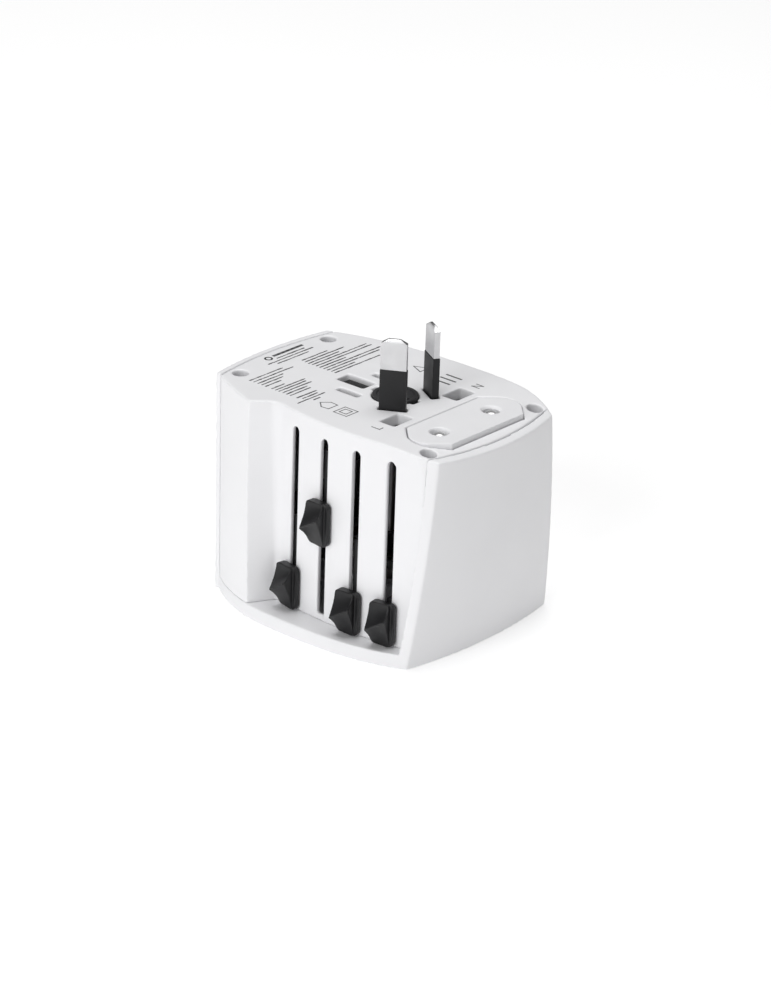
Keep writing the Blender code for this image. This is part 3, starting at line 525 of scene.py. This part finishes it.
def recess_cutter():
    """Cuts the slider recess, whose side wall leans from the socket end to the plug face."""
    bm = bmesh.new()
    rings = []
    for z in rise(-1, HEIGHT + 3, RECESS_LEVELS):
        rings.append([bm.verts.new((x, y, z)) for x, y in recess_outline(z / HEIGHT)])
    loft(bm, rings)
    return solid("slider_recess", bm)


def slider_slot(name, x):
    """The upright slot that a slider's tongue runs in, round at the top and square at the bottom."""
    radius = SLOT_WIDTH / 2
    outline = [(-radius, SLOT_BOTTOM), (radius, SLOT_BOTTOM)]
    for i in range(13):
        angle = math.radians(15 * i)
        outline.append((radius * math.cos(angle), SLOT_TOP - radius + radius * math.sin(angle)))
    return prism(name, outline, (-face_y(x) - SLIDER_WALL - 1.5, -face_y(x) + 3), upright=True, at_x=x)


def plug_housing_solid():
    """The plug face, slider wall and back wall, held between the cheeks."""
    under = HEIGHT - PLATE
    housing = body_loft("housing", rise(FLANGE_TOP + 0.05, HEIGHT, 12), cheeks_and(SEAM), 0)
    hollow = body_loft("housing_hollow", rise(0, under), cheeks_and(SEAM + END_WALL), WALL + 0.3)
    stem_room = box("stem_room", (SLIDERS["us"] - 4, SLIDERS["euro"] + 3), (-30, -15), (1, under))
    combine(hollow, [stem_room], "UNION")
    wall_line = [(x, face_y(x) + SLIDER_WALL) for x in range(-13, 42, 3)]
    zone = [(-21.5, -50), (-21.5, -26.3), (-16.8, -22.2)] + wall_line + [(41, -50)]
    combine(hollow, [prism("slider_wall_zone", zone, (-1, HEIGHT + 1)), fall_cutter("plate_fall", under)],
            "DIFFERENCE")
    combine(housing, [hollow], "DIFFERENCE")
    bosses = []
    for i, (x, y, _top, deep) in enumerate(SCREWS):
        boss = cylinder(f"boss_{i}", x, y, POST_RADIUS, (deep, under + 1))
        limit = body_loft(f"boss_limit_{i}", rise(0, HEIGHT), cheeks_and(SEAM + 0.3), 0.6)
        combine(boss, [limit], "INTERSECT")
        bosses.append(boss)
    for side in (-1, 1):
        bosses.append(box(f"uk_collar_{side}", span(UK_COLLAR[0]), span(UK_COLLAR[1]),
                          (UK_COLLAR_UNDER, under + 1), 0, (UK_LINE[0], side * UK_LINE[1])))
    combine(housing, bosses, "UNION")
    through = (under - 2, HEIGHT + 2)
    cuts = [recess_cutter(), fall_cutter("housing_fall")]
    cuts += [slider_slot(f"slot_{name}", x) for name, x in SLIDERS.items()]
    cuts.append(hexagon("euro_opening", EURO_BLOCK_X, 0.3, through))
    cuts.append(box("uk_earth_hole", span(UK_EARTH_HOLE[0]), span(UK_EARTH_HOLE[1]), through, 0,
                    (UK_EARTH_X, 0)))
    cuts.append(cylinder("fuse_opening", FUSE_X, 0, FUSE_CAP_RADIUS + 0.3, through))
    cuts.append(box("fuse_notches", span(FUSE_NOTCH[0]), span(FUSE_NOTCH[1]), through, 0, (FUSE_X, 0)))
    for side in (-1, 1):
        for word, hole, place, turn in (("uk", UK_HOLE, UK_LINE, 0), ("us", US_HOLE, US_BLADE, 0),
                                        ("au", AU_HOLE, AU_BLADE, -side * AU_ANGLE)):
            cuts.append(box(f"{word}_hole_{side}", span(hole[0]), span(hole[1]), through, turn,
                            (place[0], side * place[1])))
    for i, (x, y, top, deep) in enumerate(SCREWS):
        cuts.append(cylinder(f"screw_recess_{i}", x, y, SCREW_RECESS_RADIUS, (top - 1.8, HEIGHT + 1)))
        cuts.append(cylinder(f"screw_bore_{i}", x, y, SCREW_BORE_RADIUS, (deep - 1, top)))
        cuts.append(cylinder(f"post_room_{i}", x, y, POST_ROOM_RADIUS, (-1, deep)))
    return combine(housing, cuts, "DIFFERENCE")


def make_shells():
    """The two mouldings that the hand holds."""
    shell = moulded("outer_shell_moulding", outer_shell_solid, voxel=0.25, rounds=10, share=0.3)
    attach(shell, BODY, WHITE, ["outer_shell"])
    housing = moulded("plug_housing_moulding", plug_housing_solid, voxel=0.24, rounds=7, share=0.3)
    attach(housing, BODY, WHITE, ["plug_housing"])


def euro_block_solid():
    """The hollow European plug block."""
    low = HEIGHT - EURO_BLOCK_DEPTH
    block = hexagon("block", EURO_BLOCK_X, 0, (low, HEIGHT - 0.1))
    cuts = [hexagon("block_hollow", EURO_BLOCK_X, -1.6, (low - 1, HEIGHT - 4))]
    for side in (-1, 1):
        cuts.append(cylinder(f"block_bore_{side}", EURO_BLOCK_X, side * EURO_PIN_Y, 2.25, (low, HEIGHT + 1)))
        cuts.append(cylinder(f"block_mouth_{side}", EURO_BLOCK_X, side * EURO_PIN_Y, 2.0,
                             (HEIGHT - 0.8, HEIGHT + 0.2), top_radius=2.75))
    return combine(block, cuts, "DIFFERENCE")


# ---------------------------------------------------------------- sliders

KNOB_WIDTH = 6.3
KNOB_HEIGHT = 11.0
KNOB_BOTTOM = 3.85
KNOB_PAD = 1.3
KNOB_STEP = 1.0
AU_TRAVEL = 19.5

# The lever's ridge, top and foot.  Each pair is a measure at the -X edge, and what it gains across the knob.
KNOB_RIDGE_Z = (-1.35, 4.1)
KNOB_RIDGE_OUT = (4.35, -0.35)
KNOB_TOP_OUT = (2.2, -0.2)
KNOB_FOOT_OUT = (1.1, 0.6)
KNOB_TOP_HOLLOW = 1.8
KNOB_FOOT_HOLLOW = 1.55


def knob_height(across, z):
    """How far a knob's lever stands out: two hollowed slopes that meet in a slanting ridge."""
    ridge_z, ridge, top, foot = (start + gain * across for start, gain in
                                 (KNOB_RIDGE_Z, KNOB_RIDGE_OUT, KNOB_TOP_OUT, KNOB_FOOT_OUT))
    if z > ridge_z:
        fall = (z - ridge_z) / (KNOB_HEIGHT / 2 - ridge_z)
        return top + (ridge - top) * (1 - fall) ** KNOB_TOP_HOLLOW
    fall = (ridge_z - z) / (KNOB_HEIGHT / 2 + ridge_z)
    return foot + (ridge - foot) * (1 - fall) ** KNOB_FOOT_HOLLOW


def rounded_block(name, x, depth, radius):
    """A block as tall as a knob, standing out from the slider face, with its four corners rounded."""
    bm = bmesh.new()
    bmesh.ops.create_cube(bm, size=1)
    stretch = Matrix.Diagonal((x[1] - x[0], depth, KNOB_HEIGHT, 1))
    middle = Matrix.Translation(((x[0] + x[1]) / 2, -depth / 2, 0))
    bmesh.ops.transform(bm, matrix=middle @ stretch, verts=bm.verts)
    corners = [edge for edge in bm.edges if abs(edge.verts[0].co.y - edge.verts[1].co.y) > 0.1]
    bmesh.ops.bevel(bm, geom=corners, offset=radius, segments=6, profile=0.5, affect="EDGES")
    return name, bm


def knob_solid(x, lift):
    """A thumb knob: a rounded pad, and on it a lever with a slanting ridge, set in from the pad's +X edge."""
    half = KNOB_WIDTH / 2
    lever = bmesh.new()
    rings = []
    for i in range(9):
        across = i / 8 * (1 - KNOB_STEP / KNOB_WIDTH)
        at_x = across * KNOB_WIDTH - half
        levels = [KNOB_HEIGHT * (j / 40 - 0.5) for j in range(41)]
        ring = [(at_x, -knob_height(across, z), z) for z in levels]
        ring += [(at_x, -0.2, levels[-1]), (at_x, -0.2, levels[0])]
        rings.append([lever.verts.new(point) for point in ring])
    loft(lever, rings)
    place = Matrix.Translation((x, face_y(x) - 0.35, KNOB_BOTTOM + KNOB_HEIGHT / 2 + lift))
    place = place @ Matrix.Rotation(face_turn(x), 4, "Z")
    pieces = []
    for name, bm in (("knob_lever", lever), rounded_block("lever_limit", (-half, half - KNOB_STEP), 6, 0.9),
                     rounded_block("knob_pad", (-half, half), KNOB_PAD, 1.5)):
        bmesh.ops.transform(bm, matrix=place, verts=bm.verts)
        pieces.append(solid(name, bm))
    combine(pieces[0], pieces[1:2], "INTERSECT")
    return combine(pieces[2], pieces[:1], "UNION")


def make_knobs():
    """One black knob to each slider."""
    for name, x in SLIDERS.items():
        lift = AU_TRAVEL if name == "au" else 0.0
        knob = moulded(f"{name}_slider_knob", lambda: knob_solid(x, lift), voxel=0.12, rounds=8,
                        share=0.5)
        attach(knob, f"{name}_slider", BLACK, [f"{name}_knob"])


# ---------------------------------------------------------------- blades and pins

def blade(name, at, size, z, taper, turn):
    """An upright blade.  Its taper is the tip's height, and how far the tip draws in along X and Y."""
    bm = bmesh.new()
    bmesh.ops.create_cube(bm, size=1)
    stretch = Matrix.Diagonal((size[0], size[1], z[1] - z[0], 1))
    bmesh.ops.transform(bm, matrix=Matrix.Translation((0, 0, (z[0] + z[1]) / 2)) @ stretch, verts=bm.verts)
    bmesh.ops.bisect_plane(bm, geom=bm.verts[:] + bm.edges[:] + bm.faces[:],
                           plane_co=(0, 0, z[1] - taper[0]), plane_no=(0, 0, 1))
    for vertex in bm.verts:
        if vertex.co.z > z[1] - 0.01:
            vertex.co.x -= math.copysign(taper[1], vertex.co.x)
            vertex.co.y -= math.copysign(taper[2], vertex.co.y)
    place = Matrix.Translation((*at, 0)) @ Matrix.Rotation(turn, 4, "Z")
    bmesh.ops.transform(bm, matrix=place, verts=bm.verts)
    return solid(name, bm)


def sleeve(name, at, outer, inner, z, turn):
    """A moulded insulating sleeve round a blade's root."""
    keep = set(bpy.context.scene.objects)
    tube = box(name + "_outside", span(outer[0] / 2), span(outer[1] / 2), z, turn, at)
    bore = box(name + "_bore", span(inner[0] / 2), span(inner[1] / 2), (z[0] - 1, z[1] + 1), turn, at)
    item = settled(name, combine(tube, [bore], "DIFFERENCE"))
    clear_scratch(keep | {item})
    return bevelled(item, 0.12)


def make_au_blades():
    """The two pushed-out blades: plated tips over black sleeves, with a thin core inside the sleeve."""
    for side, word in ((-1, "line"), (1, "neutral")):
        at = (AU_BLADE[0], side * AU_BLADE[1])
        turn = -side * AU_ANGLE
        tip = blade(f"au_{word}_tip", at, (6.15, 1.5), (AU_SLEEVE_TOP + 0.02, AU_BLADE_TOP),
                    (1.1, 1.7, 0.45), turn)
        attach(bevelled(tip, 0.1), "au_slider", NICKEL)
        core = blade(f"au_{word}_core", at, (5.2, 0.6), (AU_FOOT, AU_SLEEVE_TOP + 0.01),
                     (0.3, 0.05, 0.05), turn)
        attach(bevelled(core, 0.05), "au_slider", NICKEL, [f"au_{word}_blade"])
        cover = sleeve(f"au_{word}_cover", at, (6.4, 1.68), (5.4, 0.8), (AU_FOOT, AU_SLEEVE_TOP), turn)
        attach(cover, "au_slider", SLEEVE, [f"au_{word}_sleeve"])


def make_euro_block():
    """The plug block with eased edges and chamfered pin mouths."""
    block = moulded("euro_block_moulding", euro_block_solid, voxel=0.2, rounds=4, share=0.3)
    attach(block, "euro_block", WHITE, ["euro_plug_block"])


# The pins' and sleeves' turned profiles, as radius and height.
EURO_PROFILES = {
    "pin": [(0, EURO_PIN_FOOT), (1.2, EURO_PIN_FOOT), (1.2, 44.2), (1.9, 44.2), (2.0, 44.3), (2.0, 51.2),
            (1.95, 51.63), (1.81, 52.05), (1.58, 52.4), (1.27, 52.68), (0.9, 52.88), (0.46, 52.98),
            (0, 53.0)],
    "sleeve": [(1.4, EURO_PIN_FOOT), (1.9, EURO_PIN_FOOT), (1.9, 43.9), (1.8, EURO_SLEEVE_TOP),
               (1.4, EURO_SLEEVE_TOP), (1.4, EURO_PIN_FOOT)]}


def euro_turning(name, side, profile):
    """A smooth turned piece of one round pin."""
    bm = bmesh.new()
    points = [bm.verts.new((radius, 0, z)) for radius, z in profile]
    lines = [bm.edges.new(pair) for pair in zip(points, points[1:])]
    bmesh.ops.spin(bm, geom=points + lines, axis=(0, 0, 1), cent=(0, 0, 0), steps=64, angle=math.tau)
    bmesh.ops.remove_doubles(bm, verts=bm.verts, dist=0.001)
    bmesh.ops.recalc_face_normals(bm, faces=bm.faces)
    bmesh.ops.translate(bm, vec=(EURO_BLOCK_X, side * EURO_PIN_Y, 0), verts=bm.verts)
    item = solid(name, bm)
    item.data.shade_smooth()
    item.data.set_sharp_from_angle(angle=math.radians(40))
    return item


def make_euro_pins():
    """The two round pins with domed plated ends, and their black sleeves."""
    for side, word in ((-1, "first"), (1, "second")):
        for part, material in (("pin", BRIGHTENED_NICKEL), ("sleeve", SLEEVE)):
            node = f"euro_{word}_{part}"
            item = euro_turning(f"{node}_turned", side, EURO_PROFILES[part])
            attach(item, "euro_slider", material, [node])


# ---------------------------------------------------------------- fuse cap and screws

CAP_Z = (51.0, 53.9)
CAP_STUB_Z = (47.1, 51.5)
CAP_STUB_RADIUS = 2.6
CAP_DISH_FLOOR = 53.55
CAP_DISH_RADIUS = 4.5
CAP_SLOT_FLOOR = 52.9
CAP_SLOT = (4.1, 0.65)
LUG_HALF_WIDTH = 1.2
LUG_REACH = 6.2
SCREW_HEAD_RADIUS = 1.6
SCREW_SHANK_RADII = (1.1, 1.15)
SCREW_CROSS = (1.1, 0.22)


def fuse_cap_solid():
    """The bayonet fuse cap: a dished disc with a raised rim, a coin slot and two lugs."""
    cap = cylinder("cap", FUSE_X, 0, FUSE_CAP_RADIUS, CAP_Z, 96)
    stub = cylinder("cap_stub", FUSE_X, 0, CAP_STUB_RADIUS, CAP_STUB_Z)
    lugs = combine(box("cap_lugs", span(LUG_HALF_WIDTH), span(LUG_REACH), (50.2, 51.4), 0, (FUSE_X, 0)),
                   [cylinder("lug_limit", FUSE_X, 0, LUG_REACH, (50.1, 51.1))], "INTERSECT")
    combine(cap, [stub, lugs], "UNION")
    cuts = [cylinder("cap_dish", FUSE_X, 0, CAP_DISH_RADIUS, (CAP_DISH_FLOOR, 55), 96)]
    cuts.append(box("cap_slot", span(CAP_SLOT[0]), span(CAP_SLOT[1]), (CAP_SLOT_FLOOR, 55), 0, (FUSE_X, 0)))
    return combine(cap, cuts, "DIFFERENCE")


def make_fuse_cap():
    """The cap that turns in the plug face."""
    cap = moulded("fuse_cap_moulding", fuse_cap_solid, voxel=0.13, rounds=2, share=0.4)
    attach(cap, "fuse_cover", DARK, ["fuse_cap"])


def screw_solid(x, y, top, deep):
    """A pan head with a cross recess on a plain shank."""
    head = cylinder("head", x, y, SCREW_HEAD_RADIUS, (top - 1.5, top))
    shank = cylinder("shank", x, y, SCREW_SHANK_RADII[0], (deep - 15, top - 1), 32,
                     top_radius=SCREW_SHANK_RADII[1])
    combine(head, [shank], "UNION")
    arms = [box(f"arm_{i}", span(SCREW_CROSS[0]), span(SCREW_CROSS[1]), (top - 0.9, top + 1),
                i * math.pi / 2, (x, y)) for i in range(2)]
    return combine(head, arms, "DIFFERENCE")


def make_screws():
    """Four housing screws, seen at the bottom of their recesses."""
    names = ("left_front", "left_back", "right_front", "right_back")
    for name, place in zip(names, SCREWS):
        screw = moulded(f"housing_screw_{name}", lambda: screw_solid(*place), voxel=0.11, rounds=2,
                         share=0.5)
        attach(screw, BODY, SHADED_STEEL, [f"screw_{name}"])


# ---------------------------------------------------------------- printed marks

PRINT_TOP = 0.025
STROKE = 0.26
DASH_LENGTH = (0.28, 0.95)
DASH_WIDTH = (0.28, 0.5)
DASH_WANDER = 0.05
DASH_GAPS = (0.13, 0.13, 0.17, 0.42)


def stroke(bm, start, end, width=STROKE):
    """One printed stroke on the plug face."""
    run = Vector((end[0] - start[0], end[1] - start[1], 0))
    turn = math.atan2(run.y, run.x)
    middle = Vector(((start[0] + end[0]) / 2, (start[1] + end[1]) / 2, HEIGHT + PRINT_TOP / 2))
    place = Matrix.Translation(middle) @ Matrix.Rotation(turn, 4, "Z")
    place = place @ Matrix.Diagonal((run.length + width, width, PRINT_TOP, 1))
    bmesh.ops.create_cube(bm, size=1, matrix=place)


def printed(name, draw):
    """A printed mark: strokes drawn by a function, on the housing."""
    bm = bmesh.new()
    draw(bm)
    attach(solid(name, bm), BODY, INK)


def loop(bm, points, width=STROKE):
    """A closed outline of strokes."""
    for start, end in zip(points, points[1:] + points[:1]):
        stroke(bm, start, end, width)


def dashes(bm, x, start, end, rng):
    """A row of short uneven dashes along Y that stands for a line of small print."""
    y = start
    while y < end - 0.3:
        length = min(rng.uniform(*DASH_LENGTH), end - y)
        at_x = x + rng.uniform(*span(DASH_WANDER))
        stroke(bm, (at_x, y), (at_x, y + length), rng.uniform(*DASH_WIDTH))
        y += length + rng.choice(DASH_GAPS)


def make_print():
    """Generic marks: rows of dashes, a ring and a bar, a house, a double square, and L and N."""
    rng = random.Random(11)
    blocks = {
        "print_rows_left": [(-27.5, -17.6, -6.4), (-26.2, -17.6, -4.1), (-24.9, -17.6, -8.8),
                            (-23.7, -17.6, -10.3), (-22.4, -17.6, -12.5)],
        "print_rows_middle": [(-20.4, -17.7, -13.5), (-19.2, -17.7, -7.7), (-18.1, -17.7, -8.6),
                              (-16.9, -17.7, -8.0), (-15.7, -17.7, -10.3), (-14.5, -17.7, -10.9)],
        "print_rows_front": [(-12.4, -17.6, -11.1), (-11.2, -17.0, -11.7), (-10.1, -20.0, -10.8),
                             (-8.9, -15.8, -13.7)],
        "print_rows_back": [(-27.4, 0.8, 9.5), (-26.2, 0.4, 14.1), (-25.0, 0.3, 11.0), (-23.8, 0.4, 19.6),
                            (-22.6, 0.4, 20.0), (-21.4, 0.4, 9.8), (-20.2, 0.4, 20.4), (-19.0, 0.4, 18.9),
                            (-17.8, 0.4, 8.9), (-16.6, 0.4, 16.6)],
        "print_rows_title": [(-32.5, -2.6, 6.8), (-31.3, -6.9, 8.8), (-30.1, -4.9, 6.4)]}
    for name, rows in blocks.items():
        printed(name, lambda bm: [dashes(bm, x, start, end, rng) for x, start, end in rows])
    ring = [(-33.8 + 0.85 * math.cos(math.radians(a)), -4.3 + 0.85 * math.sin(math.radians(a)))
            for a in range(0, 360, 20)]
    printed("print_ring", lambda bm: loop(bm, ring, 0.4))
    printed("print_title_bar", lambda bm: [stroke(bm, (-34.1, y), (-34.1, y + 1.2), 0.9)
                                           for y in (-2.0, -0.3, 1.4, 3.1, 4.8, 6.5)])
    house = [(-6.8, -15.9), (-5.0, -14.1), (-2.8, -14.3), (-2.8, -17.5), (-4.9, -17.7)]
    printed("print_house", lambda bm: loop(bm, house))
    squares = [[(-0.8, -18.0), (-0.8, -13.9), (3.2, -13.9), (3.2, -18.0)],
               [(0.1, -17.0), (0.1, -14.8), (2.2, -14.8), (2.2, -17.0)]]
    printed("print_double_square", lambda bm: [loop(bm, square) for square in squares])
    printed("print_terminal_l", lambda bm: [stroke(bm, (11.4, -18.4), (13.7, -18.4), 0.3),
                                            stroke(bm, (13.7, -18.4), (13.7, -17.2), 0.3)])
    printed("print_terminal_n", lambda bm: [stroke(bm, (11.7, 17.1), (13.8, 17.1), 0.3),
                                            stroke(bm, (11.7, 17.1), (13.8, 18.8), 0.3),
                                            stroke(bm, (11.7, 18.8), (13.8, 18.8), 0.3)])
    bars = [((2.9, 14.0), (7.2, 14.0)), ((2.9, 16.2), (7.2, 16.2)), ((2.9, 18.4), (7.2, 18.4))]
    printed("print_bars", lambda bm: [stroke(bm, start, end, 0.55) for start, end in bars])
    triangle = [(-6.2, 16.8), (-2.8, 15.2), (-2.8, 18.4)]
    printed("print_triangle", lambda bm: loop(bm, triangle))


# ---------------------------------------------------------------- CAD pieces that stay

CARRIED = {
    CARRIER: ["us_carrier", "au_carrier", "uk_carrier", "euro_carrier"],
    INNER: ["fuse_holder", "contact_chassis"],
    BRASS: ["line_socket_contact", "neutral_socket_contact"],
    SHADED_BRASS: ["line_bus_bar", "neutral_bus_bar", "fuse_feed_strip", "fuse_lead"],
    NICKEL: ["us_line_blade", "us_neutral_blade", "uk_line_pin", "uk_neutral_pin", "fuse_lower_ferrule",
             "fuse_upper_ferrule"],
    SLEEVE: ["uk_earth_pin"],
    SHADED_STEEL: ["fuse_spring", "shutter_spring"],
    CERAMIC: ["fuse_tube"],
    WHITE_GLOSS: ["socket_shutter"],
}


COILS = ("fuse_spring", "shutter_spring")
FINE_EDGE = 0.12


def finish_cad_pieces():
    """Give the pieces that keep their CAD shape their finish and a fine edge."""
    for material, names in CARRIED.items():
        for name in names:
            node = frame["nodes"][name]
            node.data.materials.clear()
            node.data.materials.append(material)
            if name not in COILS:
                bevel = node.modifiers.new("fine_edge", "BEVEL")
                bevel.width = FINE_EDGE * MM
                bevel.segments = 2
                bevel.limit_method = "ANGLE"
                bevel.angle_limit = math.radians(40)


# ---------------------------------------------------------------- floor, lights and camera

FLOOR_HALF = 4000
FLOOR_GLOW = 0.26
SURROUND_STRENGTH = 0.12
# Each light's name, place in metres, size in metres and power in watts.
LIGHTS = (("key", (0.12, -1.3, 0.6), 0.9, 9.6), ("top", (-0.05, 0.15, 1.4), 1.1, 14.5))
LIGHT_AIM = Vector((0, 0, 0.025))
LENS_MM = 150.44
SENSOR_MM = 36
CAMERA_PLACE = (0.5893, -0.6926, 0.4245)
CAMERA_ELEVATION = math.radians(23.69)
CAMERA_AZIMUTH = math.radians(40.31)
CAMERA_ROLL = math.radians(1.89)


def make_studio():
    """A pale floor, a faint even surround, a soft key light on the slider side and one from above."""
    floor_material, shader = shader_of("floor_white")
    tree = floor_material.node_tree
    pale = ramp(tree, noise(tree, 3, 2), NOISE_RANGE, ((0.93, 0.93, 0.93), (0.95, 0.95, 0.95)))
    tree.links.new(pale, shader.inputs["Base Color"])
    shader.inputs["Roughness"].default_value = 0.9
    shader.inputs["Emission Color"].default_value = (1, 1, 1, 1)
    shader.inputs["Emission Strength"].default_value = FLOOR_GLOW
    bm = bmesh.new()
    bmesh.ops.create_grid(bm, x_segments=1, y_segments=1, size=FLOOR_HALF)
    bmesh.ops.translate(bm, vec=(0, 0, -0.02), verts=bm.verts)
    floor = solid("floor", bm)
    floor.data.materials.append(floor_material)

    world = bpy.data.worlds.new("surround")
    bpy.context.scene.world = world
    world.use_nodes = True
    background = world.node_tree.nodes["Background"]
    background.inputs["Color"].default_value = (1, 1, 1, 1)
    background.inputs["Strength"].default_value = SURROUND_STRENGTH

    for name, spot, size, power in LIGHTS:
        light = bpy.data.lights.new(name, "AREA")
        light.size = size
        light.energy = power
        lamp = bpy.data.objects.new(name, light)
        lamp.location = spot
        aim = LIGHT_AIM - Vector(spot)
        lamp.rotation_euler = aim.to_track_quat("-Z", "Y").to_euler()
        bpy.context.scene.collection.objects.link(lamp)


def make_camera():
    """A long lens above the slider side's +X corner."""
    lens = bpy.data.cameras.new("camera")
    lens.lens = LENS_MM
    lens.sensor_width = SENSOR_MM
    lens.clip_start = 0.05
    camera = bpy.data.objects.new("camera", lens)
    turn = Matrix.Rotation(CAMERA_AZIMUTH, 4, "Z") @ Matrix.Rotation(math.pi / 2 - CAMERA_ELEVATION, 4, "X")
    roll = Matrix.Rotation(CAMERA_ROLL, 4, "Z")
    camera.matrix_world = Matrix.Translation(CAMERA_PLACE) @ turn @ roll
    bpy.context.scene.collection.objects.link(camera)
    bpy.context.scene.camera = camera


bpy.context.scene.view_settings.view_transform = "Standard"
make_shells()
make_knobs()
make_au_blades()
make_euro_block()
make_euro_pins()
make_fuse_cap()
make_screws()
make_print()
finish_cad_pieces()
make_studio()
make_camera()
